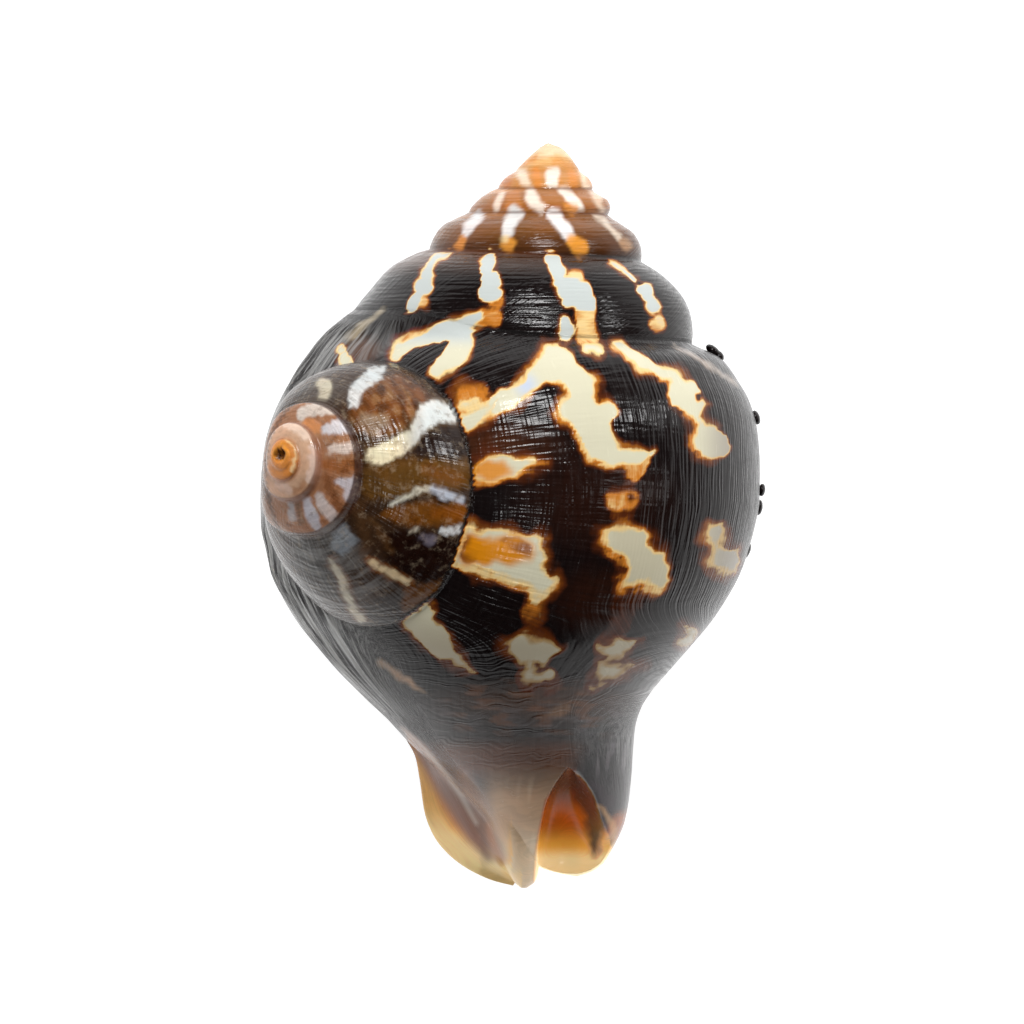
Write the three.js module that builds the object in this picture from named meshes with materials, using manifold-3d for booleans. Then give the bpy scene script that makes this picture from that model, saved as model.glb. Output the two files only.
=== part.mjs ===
// Double-spired sea snail shell, lying on its aperture.
//
// One solid, grown as one piece: a globose body whorl with a pointed spire at
// its back end (+Y), a second, budded spire that stands up on its left
// shoulder, and an open siphonal end at the front (-Y) made of a central
// column, a thin flared flange on the left and a spoon-like lobe on the right.
// The aperture opens downwards and the shell rests on its flat rim.
//
// Axes: +Y from the siphonal end to the main apex, +Z up, +X to the right seen
// from above. Origin: centre of the bounding box in X and Y, on the resting
// plane in Z. Millimetres.

import * as THREE from 'three';
import { mergeVertices } from 'three/addons/utils/BufferGeometryUtils.js';
import Module from 'manifold-3d';

// ---------------------------------------------------------------- dimensions
const SHELL_LENGTH = 46.2;        // main apex to siphonal tip
const GRID_LENGTH = 745;          // the same length in grid units
const U = SHELL_LENGTH / GRID_LENGTH;   // one grid unit, about 0.062 mm
const GRID_MID_U = 513;           // grid column that is x = 0
const GRID_MID_V = 516;           // grid row that is y = 0
const FLOOR_DEPTH = 215;          // resting plane below the body's centre
const BODY_RADIUS = 250;          // body whorl, nearly a sphere
const WALL = 21;                  // wall at the outer lip, about 1.3 mm
const COLUMELLA = 32;             // radius of the solid core
const LIP_ANGLE = 240;            // where the last whorl ends, hidden below
const CAVITY_FROM = 277;          // aperture side of the hollow, in degrees
const CAVITY_TO = 30;             // inner end of the hollow
const COLUMNS = 56;               // facets around
const BUD_COLUMNS = 40;           // facets around the budded spire
const BUD_TIP = [-232.5, 35.2, 272.6];       // apex of the bud, grid units
const BUD_AXIS = [-0.618, 0.258, 0.743];     // from its base to its apex
const BUD_NORMAL = [-0.657, 0.03, 0.753];    // its sutures lie across this
const BEADS = [                   // nodules on the right margin: u, v, z, half sizes
  [709, 350, -8, 9, 7, 9], [718, 356, -10, 8, 6, 9],
  [754, 413, -10, 7, 6, 9], [757, 421, -12, 7, 6, 9],
  [760, 491, -12, 7, 8, 10], [757, 505, -14, 6, 8, 9],
  [746, 549, -12, 6, 8, 9], [743, 560, -14, 5, 7, 8],
];

// ------------------------------------------------------------------- helpers
function pchip(points) {
  const x = points.map((p) => p[0]);
  const y = points.map((p) => p[1]);
  const n = x.length;
  const h = [];
  const d = [];
  for (let i = 0; i < n - 1; i++) {
    h.push(x[i + 1] - x[i]);
    d.push((y[i + 1] - y[i]) / h[i]);
  }
  const m = new Array(n).fill(0);
  m[0] = d[0];
  m[n - 1] = d[n - 2];
  for (let i = 1; i < n - 1; i++) {
    if (d[i - 1] * d[i] > 0) {
      const w1 = 2 * h[i] + h[i - 1];
      const w2 = h[i] + 2 * h[i - 1];
      m[i] = (w1 + w2) / (w1 / d[i - 1] + w2 / d[i]);
    }
  }
  return (q) => {
    const c = Math.min(Math.max(q, x[0]), x[n - 1]);
    let i = 0;
    while (i < n - 2 && c >= x[i + 1]) i++;
    const t = (c - x[i]) / h[i];
    return y[i] * (1 + 2 * t) * (1 - t) ** 2 + m[i] * h[i] * t * (1 - t) ** 2
      + y[i + 1] * t * t * (3 - 2 * t) + m[i + 1] * h[i] * t * t * (t - 1);
  };
}
const smooth = (a, b, q) => {
  const t = Math.min(Math.max((q - a) / (b - a), 0), 1);
  return t * t * (3 - 2 * t);
};
const mix = (a, b, t) => a + (b - a) * t;
const rad = (deg) => deg * Math.PI / 180;
// grid units (u right, v down, z up from the body's centre) to millimetres
const place = (u, v, z) => [(u - GRID_MID_U) * U, (GRID_MID_V - v) * U, (z + FLOOR_DEPTH) * U];

// ------------------------------------------- main spire and body: the tables
// Row v of the suture against growth angle in turns. Whole numbers are at the
// left, .25 on top, .5 at the right, .75 underneath.
const suture = pchip([
  [0, 143.2], [1, 143.2], [1.25, 147], [1.5, 152], [1.75, 159],
  [2, 168], [2.25, 168.5], [2.5, 169.2], [2.75, 179],
  [3, 188.4], [3.25, 188.8], [3.5, 189.8], [3.75, 201],
  [4, 212.5], [4.25, 213], [4.5, 215.2], [4.75, 232],
  [5, 249.5], [5.25, 253.8], [5.5, 262.5], [5.75, 284],
  [6, 309.5], [6.12, 311.5], [6.16, 318], [6.2, 329], [6.27, 338],
  [6.42, 341.5], [6.5, 345], [6 + LIP_ANGLE / 360, 380],
]);
const axisU = pchip([
  [143, 548.6], [310, 531.3], [490, 513], [600, 506], [680, 505],
  [720, 512], [760, 524], [800, 547], [840, 558], [865, 566], [878, 577],
]);
// the first dome, before any suture shows: radius against row
const domeL = pchip([[143.2, 0], [144.5, 5], [147, 8], [150, 11], [159, 20], [168, 28], [190, 47]]);
const domeR = pchip([[143.2, 0], [144.2, 6], [146, 10], [150, 16], [156, 22.5], [163, 28], [168, 32], [190, 48.5]]);
// radius at each suture, left and right, and the shape of each whorl between
const sutL = [0, 0, 27.9, 45.8, 73, 108.4, 177];
const sutR = [0, 0, 32.6, 48.6, 66.5, 105, 164.5];
const gL = {
  2: pchip([[0, 0], [0.15, 0.1], [0.44, 0.62], [0.75, 0.88], [1, 1]]),
  3: pchip([[0, 0], [0.1, 0.24], [0.35, 0.56], [0.65, 0.82], [1, 1]]),
  4: pchip([[0, 0], [0.11, 0.24], [0.38, 0.72], [0.65, 0.88], [1, 1]]),
  5: pchip([[0, 0], [0.06, 0.18], [0.14, 0.32], [0.24, 0.475], [0.42, 0.635], [0.69, 0.8], [1, 1]]),
};
const gR = {
  2: pchip([[0, 0], [0.1, 0.09], [0.43, 0.68], [0.86, 0.975], [1, 1]]),
  3: pchip([[0, 0], [0.08, 0.12], [0.22, 0.45], [0.42, 0.92], [0.72, 1.09], [1, 1]]),
  4: pchip([[0, 0], [0.21, 0.41], [0.4, 0.74], [0.72, 0.95], [1, 1]]),
  5: pchip([[0, 0], [0.115, 0.295], [0.31, 0.615], [0.455, 0.787], [0.65, 0.916], [0.87, 0.98], [1, 1]]),
};
// outline of the body and neck
const edgeL = pchip([
  [309.5, 354], [319, 341.5], [329, 329], [342, 316.6], [356, 306.5], [370, 297], [382, 290],
  [394, 283], [406, 277], [424, 270], [448, 264], [472, 261.5], [500, 260.3], [526, 261],
  [550, 266], [574, 272], [598, 283], [622, 297.5], [646, 317], [670, 337], [694, 361],
  [718, 386], [738, 404], [752, 418], [765, 432], [780, 447], [800, 468], [820, 484], [840, 497],
  [855, 510], [864, 528], [870, 543], [875, 560], [878, 577],
]);
const edgeR = pchip([
  [345, 692.3], [350, 705], [357, 719], [366, 728], [381, 738], [396, 747], [410, 752.5],
  [425, 756.5], [440, 758.5], [466, 760], [502, 759.5], [526, 755], [550, 748.5], [574, 740],
  [598, 727], [622, 711], [646, 691], [670, 670], [694, 650], [708, 641.5], [728, 635.5],
  [750, 633.5], [775, 632], [800, 629.5], [814, 627], [826, 624], [838, 619], [850, 613],
  [862, 606.5], [869, 598.5], [874, 590], [878, 577],
]);
const topZ = pchip([
  [305, 170], [330, 172], [338, 176], [346, 187], [356, 200], [370, 214], [400, 233], [440, 245],
  [490, 250], [540, 245], [590, 229], [640, 199], [670, 172], [700, 140], [725, 110], [745, 84],
  [770, 55], [800, 18], [830, -24], [850, -62], [865, -100], [874, -130], [878, -150],
]);
const lowZ = pchip([   // depth below the centre, left of the aperture
  [280, 141], [300, 152], [330, 178], [360, 202], [400, 223], [440, 233], [490, 238], [560, 237],
  [640, 232], [745, 228], [800, 226], [825, 219], [845, 207], [862, 190], [874, 168], [878, 152],
]);
const lowRightZ = pchip([   // the same at the outer lip, which flares past the rest plane
  [345, 172], [360, 205], [380, 240], [410, 272], [460, 290], [540, 292], [640, 275], [745, 240],
  [800, 228], [825, 219], [845, 207], [862, 190], [874, 168], [878, 152],
]);
const midZ = pchip([   // height of the widest line
  [300, 0], [560, 0], [640, -14], [700, -42], [745, -82], [800, -112], [850, -132], [878, -151],
]);

function spireSide(k, f, v, tables, sut, dome) {
  if (k <= 1) return dome(v);
  const r0 = sut[k];
  const r1 = sut[k + 1];
  return r0 + (r1 - r0) * tables[k](f);
}
// a point of the main spire; tau in turns, f from one suture to the next
function spirePoint(tau, f) {
  const k = Math.floor(tau + 1e-9);
  const psi = (tau - k) * 360;
  const v = mix(suture(tau), suture(tau + 1), f);
  const c = Math.cos(rad(psi));
  const s = Math.sin(rad(psi));
  const kk = Math.min(k, 5);
  const right = spireSide(kk, f, v, gR, sutR, domeR);
  const left = spireSide(kk, f, v, gL, sutL, domeL);
  const nextK = Math.min(k + 1, 5);
  let next = k >= 5 ? axisU(v) - edgeL(v) : spireSide(nextK, f, v, gL, sutL, domeL);
  if (nextK === 2) next = mix(domeL(v), next, smooth(1.5, 2, tau));
  const rx = psi <= 90 ? left : (psi <= 270 ? right : next);
  const rz = psi <= 180 ? (left + right) / 2 : (right + next) / 2;
  return [axisU(v) - c * rx, v, s * rz];
}
// radii of the body at row v and growth angle psi (degrees)
function bodyRadii(psi, v, flare) {
  const ax = axisU(v);
  const zc = midZ(v);
  const left = ax - edgeL(v);
  const right = edgeR(v) - ax;
  const top = topZ(v) - zc;
  const lowL = lowZ(v) + zc;
  const lowR = lowRightZ(v) + zc;
  const low = flare ? lowR : mix(lowR, lowL, smooth(250, 285, psi));
  return [psi <= 90 || psi > 270 ? left : right, psi <= 180 ? top : low, ax, zc];
}
// a point of the body whorl; h from its upper suture to the siphonal end
const END_ROW = 878;
const TIP = [577, END_ROW, -151];
function bodyPoint(tau, h) {
  if (h >= 1) return TIP;
  const v0 = suture(tau);
  const v = v0 + (END_ROW - v0) * h;
  const k = Math.floor(tau + 1e-9);
  const psi = (tau - k) * 360;
  const c = Math.cos(rad(psi));
  const s = Math.sin(rad(psi));
  const [rx, rz, ax, zc] = bodyRadii(psi, v, false);
  const p = [ax - c * rx, v, zc + s * rz];
  if (k >= 6) return p;
  // under the shell, the whorl above runs on below its suture
  const q = spirePoint(tau, Math.min((v - v0) / (suture(tau + 1) - v0), 1));
  const t = 1 - smooth(0, 50, v - v0);
  return [mix(p[0], q[0], t), v, mix(p[2], q[2], t)];
}

// --------------------------------------------------------------- mesh makers
// Turns a coiled strip into a closed mesh. Each whorl's lower edge is the next
// one's upper edge; the last turn runs on to the far pole, and a narrow face
// closes the step at its end.
function coil(turnsEnd, columns, rowsOf, lastRows, hP, point, lastPoint, scale) {
  const positions = [];
  const index = [];
  const ids = new Map();
  const vertex = (p) => {
    const q = scale(p);
    const key = q.map((c) => Math.round(c * 2e4)).join();
    if (!ids.has(key)) {
      ids.set(key, positions.length / 3);
      positions.push(...q);
    }
    return ids.get(key);
  };
  const tri = (a, b, c) => {
    if (a !== b && b !== c && a !== c) index.push(a, b, c);
  };
  const total = Math.round(turnsEnd * columns);
  const lastStart = total - columns;
  const cols = [];
  for (let i = 0; i <= lastStart; i++) {
    const n = rowsOf(i / columns);
    const col = [];
    for (let j = 0; j <= n; j++) {
      const above = i >= columns && j === 0 ? cols[i - columns] : null;
      col.push([j / n, above ? above[above.length - 1][1] : vertex(point(i / columns, j / n))]);
    }
    cols.push(col);
  }
  const zip = (a, b) => {
    let i = 0;
    let j = 0;
    while (i < a.length - 1 || j < b.length - 1) {
      const goA = j === b.length - 1 || (i < a.length - 1 && a[i + 1][0] <= b[j + 1][0] + 1e-9);
      if (goA) {
        tri(a[i][1], a[i + 1][1], b[j][1]);
        i++;
      } else {
        tri(a[i][1], b[j + 1][1], b[j][1]);
        j++;
      }
    }
  };
  for (let i = 0; i < lastStart; i++) zip(cols[i], cols[i + 1]);
  const P = rowsOf(lastStart / columns);
  const hs = [];
  for (let j = 0; j <= P; j++) hs.push(hP * j / P);
  for (let j = 1; j <= lastRows.length; j++) hs.push(lastRows[j - 1]);
  const last = [];
  for (let i = lastStart; i <= total; i++) {
    last.push(hs.map((h, j) => {
      if (i === lastStart && j <= P) return [h, cols[i][j][1]];
      if (j === 0) {
        // shared with the strip one turn up, at its lower edge
        const up = cols[i - columns];
        return [h, up[up.length - 1][1]];
      }
      return [h, vertex(lastPoint(i / columns, h, i === total))];
    }));
  }
  for (let i = 0; i < last.length - 1; i++) zip(last[i], last[i + 1]);
  // the step at the end of growth
  const outer = last[last.length - 1];
  const inner = last[0].slice(P);
  const span = inner[inner.length - 1][0] - inner[0][0];
  const innerN = inner.map(([h, id]) => [(h - inner[0][0]) / span, id]);
  zip(outer, innerN);
  return { positions, index };
}

const wasm = await Module();
wasm.setup();
function solid(mesh) {
  let geometry = mesh;
  if (!mesh.isBufferGeometry) {
    geometry = new THREE.BufferGeometry();
    geometry.setAttribute('position', new THREE.Float32BufferAttribute(mesh.positions, 3));
    geometry.setIndex(mesh.index);
  }
  geometry.deleteAttribute('normal');
  geometry.deleteAttribute('uv');
  const merged = mergeVertices(geometry, 1e-4);
  const ix = merged.index.array;
  const tris = [];
  for (let i = 0; i < ix.length; i += 3) {
    if (ix[i] !== ix[i + 1] && ix[i + 1] !== ix[i + 2] && ix[i] !== ix[i + 2]) {
      tris.push(ix[i], ix[i + 1], ix[i + 2]);
    }
  }
  const out = new wasm.Manifold(new wasm.Mesh({
    numProp: 3,
    vertProperties: new Float32Array(merged.attributes.position.array),
    triVerts: new Uint32Array(tris),
  }));
  return out;
}
// closed loft through rings of equal count, capped at both ends
function loft(rings) {
  const n = rings[0].length;
  const positions = rings.flat().flat();
  const index = [];
  for (let i = 0; i < rings.length - 1; i++) {
    for (let j = 0; j < n; j++) {
      const a = i * n + j;
      const b = i * n + (j + 1) % n;
      index.push(a, b, a + n, b, b + n, a + n);
    }
  }
  const cap = (i, flip) => {
    const c = positions.length / 3;
    const mid = [0, 0, 0];
    for (const p of rings[i]) for (let q = 0; q < 3; q++) mid[q] += p[q] / n;
    positions.push(...mid);
    for (let j = 0; j < n; j++) {
      const a = i * n + j;
      const b = i * n + (j + 1) % n;
      if (flip) index.push(c, b, a);
      else index.push(c, a, b);
    }
  };
  cap(0, true);
  cap(rings.length - 1, false);
  // turn it outwards if its rings run the other way
  let volume = 0;
  for (let i = 0; i < index.length; i += 3) {
    const [a, b, c] = [index[i], index[i + 1], index[i + 2]].map((q) => positions.slice(q * 3, q * 3 + 3));
    volume += a[0] * (b[1] * c[2] - b[2] * c[1]) - a[1] * (b[0] * c[2] - b[2] * c[0]) + a[2] * (b[0] * c[1] - b[1] * c[0]);
  }
  if (volume < 0) for (let i = 0; i < index.length; i += 3) [index[i + 1], index[i + 2]] = [index[i + 2], index[i + 1]];
  return { positions, index };
}
function outward(mesh) {
  const { positions: p, index: q } = mesh;
  let volume = 0;
  for (let i = 0; i < q.length; i += 3) {
    const a = q[i] * 3;
    const b = q[i + 1] * 3;
    const c = q[i + 2] * 3;
    volume += p[a] * (p[b + 1] * p[c + 2] - p[b + 2] * p[c + 1])
      - p[a + 1] * (p[b] * p[c + 2] - p[b + 2] * p[c])
      + p[a + 2] * (p[b] * p[c + 1] - p[b + 1] * p[c]);
  }
  if (volume < 0) for (let i = 0; i < q.length; i += 3) [q[i + 1], q[i + 2]] = [q[i + 2], q[i + 1]];
  return mesh;
}

// -------------------------------------------------------- body and main spire
const turnEnd = 6 + Math.round(LIP_ANGLE / 360 * COLUMNS) / COLUMNS;
const vTop = suture(turnEnd - 1);
const hP = (suture(turnEnd) - vTop) / (END_ROW - vTop);
const bodyRows = [];
const BODY_STEPS = 24;
for (let j = 1; j <= BODY_STEPS; j++) bodyRows.push(hP + (1 - hP) * (1 - (1 - j / BODY_STEPS) ** 1.15));
const rowsAt = (t) => (t < 1 ? 1 : t < 2 ? 2 : t < 3 ? 3 : t < 4 ? 4 : t < 5 ? 5 : 6);
const bodyMesh = outward(coil(
  turnEnd, COLUMNS, rowsAt, bodyRows, hP,
  (t, f) => spirePoint(t, f),
  bodyPoint,
  (p) => place(...p),
));
let shellSolid = solid(bodyMesh);

// -------------------------------------------------------------- budded spire
const vec = (a) => new THREE.Vector3(...a);
const budN = vec(BUD_NORMAL).normalize();
const budUp = vec([0, 1, 0]).addScaledVector(budN, -budN.y).normalize();
const budSide = new THREE.Vector3().crossVectors(budUp, budN).normalize();
const budTip = vec(BUD_TIP);
const budAxis = vec(BUD_AXIS).normalize();
// its suture: distance below the apex and radius, against turns
const budS = pchip([
  [0, 0], [1, 0], [1.5, 4], [2, 7], [2.5, 9], [2.75, 12], [3, 18], [3.25, 23], [3.5, 25], [3.75, 28],
  [4, 36], [4.25, 46], [4.5, 50], [4.75, 54], [5, 96], [5.25, 146], [5.5, 148], [5.75, 148], [6, 148],
]);
const budR = pchip([
  [0, 0], [1, 0], [1.5, 12], [2, 16], [2.5, 19], [2.75, 23], [3, 31], [3.25, 37], [3.5, 35], [3.75, 39],
  [4, 52], [4.25, 62], [4.5, 68], [4.75, 68], [5, 99], [5.25, 130], [5.5, 131], [5.75, 131], [6, 131],
]);
const budG = pchip([[0, 0], [0.12, 0.3], [0.3, 0.6], [0.55, 0.86], [0.8, 0.98], [1, 1]]);
const budG4 = pchip([[0, 0], [0.06, 0.13], [0.2, 0.36], [0.45, 0.66], [0.75, 0.88], [1, 1]]);
function budPlace(s, r, turns) {
  const a = rad((turns - Math.floor(turns)) * 360);
  const p = budTip.clone().addScaledVector(budAxis, -s)
    .addScaledVector(budSide, -Math.cos(a) * r).addScaledVector(budUp, Math.sin(a) * r);
  // flattened where it meets the outline of the shell on the left
  const v = 490 - p.y;
  const out = Math.max(edgeL(v) + 9 - p.x - GRID_MID_U, 0);
  return [p.x + GRID_MID_U + out - 9.5 * (1 - Math.exp(-out / 9.5)), v, p.z];
}
function budPoint(tau, f) {
  const s0 = budS(tau);
  const s1 = budS(tau + 1);
  const r0 = budR(tau);
  const r1 = budR(tau + 1);
  const g = tau >= 4 ? budG4 : budG;
  return budPlace(mix(s0, s1, f), r0 + (r1 - r0) * g(f), tau);
}
const BUD_END = 5;
const budHP = 0.42;
function budLast(tau, h, atEnd) {
  // down the last whorl to its line of junction, then inside the body
  const s0 = budS(tau);
  const r0 = budR(tau);
  const split = 0.8;
  let s;
  let r;
  if (tau === BUD_END - 1 + 0 && h <= budHP) return budPoint(tau, h / budHP);
  if (h <= split) {
    const f = h / split;
    s = mix(s0, 150, f);
    r = r0 + (132 - r0) * budG4(f);
  } else {
    const f = (h - split) / (1 - split);
    s = mix(150, 215, f);
    r = mix(132, 0, f * f);
  }
  if (atEnd) r += 2.5 * Math.sin(Math.PI * h);
  return budPlace(s, r, tau);
}
const budRows = [0.5, 0.58, 0.66, 0.73, 0.8, 0.87, 0.94, 1];
const budMesh = outward(coil(
  BUD_END, BUD_COLUMNS, (t) => (t < 1 ? 1 : t < 2 ? 2 : t < 3 ? 3 : 5), budRows, budHP,
  (t, f) => budPoint(t, f), budLast, (p) => place(...p),
));
shellSolid = shellSolid.add(solid(budMesh));

// -------------------------------------------------- siphonal end: the column
// rows: v, centre u, half width, top z, low z
const column = [
  [690, 512, 96, 118, -130], [720, 511, 88, 100, -150], [745, 511, 72, 76, -160], [770, 516, 47, 40, -165],
  [796, 518, 35, 2, -170], [820, 518, 28, -32, -175], [840, 518, 24, -56, -178], [860, 519, 21, -84, -178],
  [875, 523, 15, -110, -176], [884, 524.5, 10, -129, -172], [889.5, 524, 3, -142, -158],
];
const ring = (cu, v, w, z1, z0, n) => {
  const out = [];
  for (let j = 0; j < n; j++) {
    const a = 2 * Math.PI * j / n;
    const c = Math.cos(a);
    const s = Math.sin(a);
    out.push(place(cu + w * c, v, (z0 + z1) / 2 + (z1 - z0) / 2 * s));
  }
  return out;
};
shellSolid = shellSolid.add(solid(loft(column.map((r) => ring(r[1], r[0], r[2], r[3], r[4], 18)))));

// ---------------------------------------- siphonal end: flange on the left
// each row: outer edge, ridge, groove, root: u, v, z
const flange = [
  [[397, 726, -62], [404, 729, -50], [424, 722, -40], [450, 712, -40]],
  [[407, 742, -86], [414, 737, -60], [438, 735, -48], [465, 728, -36]],
  [[415, 758, -112], [429, 751, -66], [450, 752, -56], [480, 746, -38]],
  [[419.5, 782, -138], [442, 770, -77], [462, 772, -68], [490, 768, -46]],
  [[424, 813, -160], [456, 790, -88], [474, 795, -79], [500, 794, -58]],
  [[432.5, 836, -170], [468, 812, -101], [485, 818, -93], [508, 818, -72]],
  [[447, 855, -174], [478, 834, -115], [493, 840, -108], [513, 840, -88]],
  [[468, 871, -174], [489, 854, -133], [502, 859, -129], [517, 858, -112]],
  [[493, 882.5, -172], [502, 869, -148], [511, 871, -144], [520, 870, -132]],
  [[513, 887.5, -170], [515, 880, -152], [519, 880, -148], [524, 879, -142]],
];
const flangeRings = flange.map(([edge, ridge, groove, root]) => {
  const between = (a, b, t, dz) => [mix(a[0], b[0], t), mix(a[1], b[1], t), mix(a[2], b[2], t) + dz];
  const top = [edge, between(edge, ridge, 0.5, -7), ridge, groove, root];
  const low = [[root, 30], [groove, 26], [ridge, 22], [between(edge, ridge, 0.5, -7), 15], [edge, 7]];
  const all = [...top, ...low.map(([p, t]) => [p[0], p[1], p[2] - t])];
  return all.map((p) => place(...p));
});
shellSolid = shellSolid.add(solid(loft(flangeRings)));

// ------------------------------------------------------ beads on the margin
for (const [u, v, z, a, b, c] of BEADS) {
  const g = new THREE.SphereGeometry(1, 10, 7);
  g.scale(a * U, b * U, c * U);
  g.translate(...place(u, v, z));
  shellSolid = shellSolid.add(solid(g));
}

// ------------------------------------- siphonal notch: a scoop open on top
// rows: v, left u, right u, deepest z
const scoop = [
  [767, 567, 571, 40], [771, 564, 574, 4], [779, 558.5, 578, -44], [790, 552, 582, -80], [808, 545, 587, -106],
  [828, 541, 594, -124], [846, 538.5, 603, -136], [858, 537.5, 608, -140], [868, 538, 608, -142],
  [880, 539, 605, -138], [900, 540, 600, -130],
];
const scoopRings = scoop.map(([v, a, b, z]) => {
  const out = [];
  const c = (a + b) / 2;
  const w = (b - a) / 2;
  for (let j = 0; j <= 10; j++) {
    const t = Math.PI * (1 + j / 10);
    const zz = Math.sin(t);
    const q = j / 10;
    const lean = smooth(775, 800, v);
    out.push([
      c + w * Math.sign(Math.cos(t)) * Math.abs(Math.cos(t)) ** 0.8 + 7 * smooth(0.55, 1, q) * lean,
      v,
      z + 30 * (1 + zz) + 20 * q * q,
    ]);
  }
  out.push([b + 13 * smooth(775, 800, v), v, 160], [a - 2, v, 160]);
  return out.map((p) => place(...p));
});
shellSolid = shellSolid.subtract(solid(loft(scoopRings)));

// ---------------------------------- the hollow of the last whorl: aperture
const cavityRows = 9;
function cavityRing(psi) {
  const t = (CAVITY_FROM - psi) / (CAVITY_FROM - CAVITY_TO);
  const v0 = mix(402, 430, smooth(0, 1, t)) + 25 * smooth(0.8, 1, t);
  const v1 = mix(768, 640, smooth(0.12, 0.85, t)) - 40 * smooth(0.8, 1, t);
  const pointAt = (v, outer, e) => {
    const [rx, rz, ax, zc] = bodyRadii(psi, v, true);
    const meanR = (rx + rz) / 2;
    const wallIn = WALL + 14 * smooth(0.5, 1, t);
    const out = 1 - wallIn / meanR - 0.16 * smooth(0.85, 1, t);
    const inn = Math.min(COLUMELLA * (1 + 0.8 * smooth(0.5, 1, t)) / meanR, out - 0.1);
    const m = (out + inn) / 2;
    const rho = outer ? m + (out - m) * e : m - (m - inn) * e;
    return place(ax - Math.cos(rad(psi)) * rx * rho, v, zc + Math.sin(rad(psi)) * rz * rho);
  };
  const pts = [];
  for (let j = 0; j < cavityRows; j++) {
    const q = j / cavityRows;
    const e = (1 - Math.abs(2 * q - 1) ** 3.2) ** (1 / 3.2);
    pts.push(pointAt(mix(v0, v1, q), true, e));
  }
  for (let j = 0; j < cavityRows; j++) {
    const q = 1 - j / cavityRows;
    const e = (1 - Math.abs(2 * q - 1) ** 3.2) ** (1 / 3.2);
    pts.push(pointAt(mix(v0, v1, q), false, e));
  }
  return pts;
}
const cavityRings = [];
const CAVITY_STEPS = 18;
for (let i = 0; i <= CAVITY_STEPS; i++) cavityRings.push(cavityRing(mix(CAVITY_FROM, CAVITY_TO, i / CAVITY_STEPS)));
shellSolid = shellSolid.subtract(solid(loft(cavityRings)));

// -------------------------------------------------- the flat resting plane
const below = new THREE.BoxGeometry(80, 80, 20);
below.translate(0, 0, -10);
shellSolid = shellSolid.subtract(solid(below));

// ------------------------------------------------------------ the one node
const cut = shellSolid.getMesh();
const geometry = new THREE.BufferGeometry();
const xyz = new Float32Array(cut.numVert * 3);
for (let i = 0; i < cut.numVert; i++) {
  for (let q = 0; q < 3; q++) xyz[i * 3 + q] = cut.vertProperties[i * cut.numProp + q];
}
geometry.setAttribute('position', new THREE.BufferAttribute(xyz, 3));
geometry.setIndex(Array.from(cut.triVerts));
geometry.computeBoundingBox();
const box = geometry.boundingBox;
geometry.translate(-(box.min.x + box.max.x) / 2, -(box.min.y + box.max.y) / 2, -box.min.z);

const material = new THREE.MeshStandardMaterial({ color: 0x2e2422, roughness: 0.35, metalness: 0 });
const shell = new THREE.Mesh(geometry, material);
shell.name = 'shell';
const model = new THREE.Group();
model.add(shell);

export default model;
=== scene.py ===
"""Looks of the double-spired sea snail shell: a finely meshed surface over the
CAD part, procedural shell material, soft studio light and the camera above.

Grid units: u to the right, v towards the siphonal end, z up from the middle of
the body. One grid unit is about 0.062 mm. Everything is turned into metres by
place()."""

import math

import bpy
import numpy as np
from mathutils import Matrix, Vector


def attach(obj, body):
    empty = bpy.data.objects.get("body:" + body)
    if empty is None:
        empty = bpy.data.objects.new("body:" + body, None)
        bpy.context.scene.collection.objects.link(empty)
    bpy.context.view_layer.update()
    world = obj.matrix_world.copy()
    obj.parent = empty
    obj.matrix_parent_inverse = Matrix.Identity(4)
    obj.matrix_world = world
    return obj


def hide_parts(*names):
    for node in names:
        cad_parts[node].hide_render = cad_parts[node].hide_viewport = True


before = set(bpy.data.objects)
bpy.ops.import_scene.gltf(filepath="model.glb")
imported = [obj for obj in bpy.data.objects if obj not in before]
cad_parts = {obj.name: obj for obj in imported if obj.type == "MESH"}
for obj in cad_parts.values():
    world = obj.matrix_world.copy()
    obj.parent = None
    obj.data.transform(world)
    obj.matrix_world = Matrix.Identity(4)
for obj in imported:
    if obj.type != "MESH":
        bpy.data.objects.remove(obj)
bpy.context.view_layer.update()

# ------------------------------------------------------------------ dimensions
U = 46.2e-3 / 745
MID_U, MID_V, FLOOR = 510.357, 516.350, 215.0
WALL, COLUMELLA = 21.0, 32.0
LIP = 240.0
CAVITY_FROM, CAVITY_TO = 277.0, 30.0
COLS_TOP, COLS_LOW = 236, 60
COLS = COLS_TOP + COLS_LOW
BUD_COLS = 216
BUD_TIP = np.array([-232.5, 35.2, 272.6])
BUD_AXIS = np.array([-0.618, 0.258, 0.743])
BUD_NORMAL = np.array([-0.657, 0.03, 0.753])
BUD_AXIS = BUD_AXIS / np.linalg.norm(BUD_AXIS)
BUD_NORMAL = BUD_NORMAL / np.linalg.norm(BUD_NORMAL)


def pchip(points):
    x = np.array([p[0] for p in points], float)
    y = np.array([p[1] for p in points], float)
    h = np.diff(x)
    d = np.diff(y) / h
    m = np.zeros(len(x))
    m[0], m[-1] = d[0], d[-1]
    for i in range(1, len(x) - 1):
        if d[i - 1] * d[i] > 0:
            w1 = 2 * h[i] + h[i - 1]
            w2 = h[i] + 2 * h[i - 1]
            m[i] = (w1 + w2) / (w1 / d[i - 1] + w2 / d[i])

    def f(q):
        q = np.clip(np.asarray(q, float), x[0], x[-1])
        i = np.clip(np.searchsorted(x, q, side="right") - 1, 0, len(x) - 2)
        t = (q - x[i]) / h[i]
        return (y[i] * (1 + 2 * t) * (1 - t) ** 2 + m[i] * h[i] * t * (1 - t) ** 2
                + y[i + 1] * t * t * (3 - 2 * t) + m[i + 1] * h[i] * t * t * (t - 1))
    return f


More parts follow.
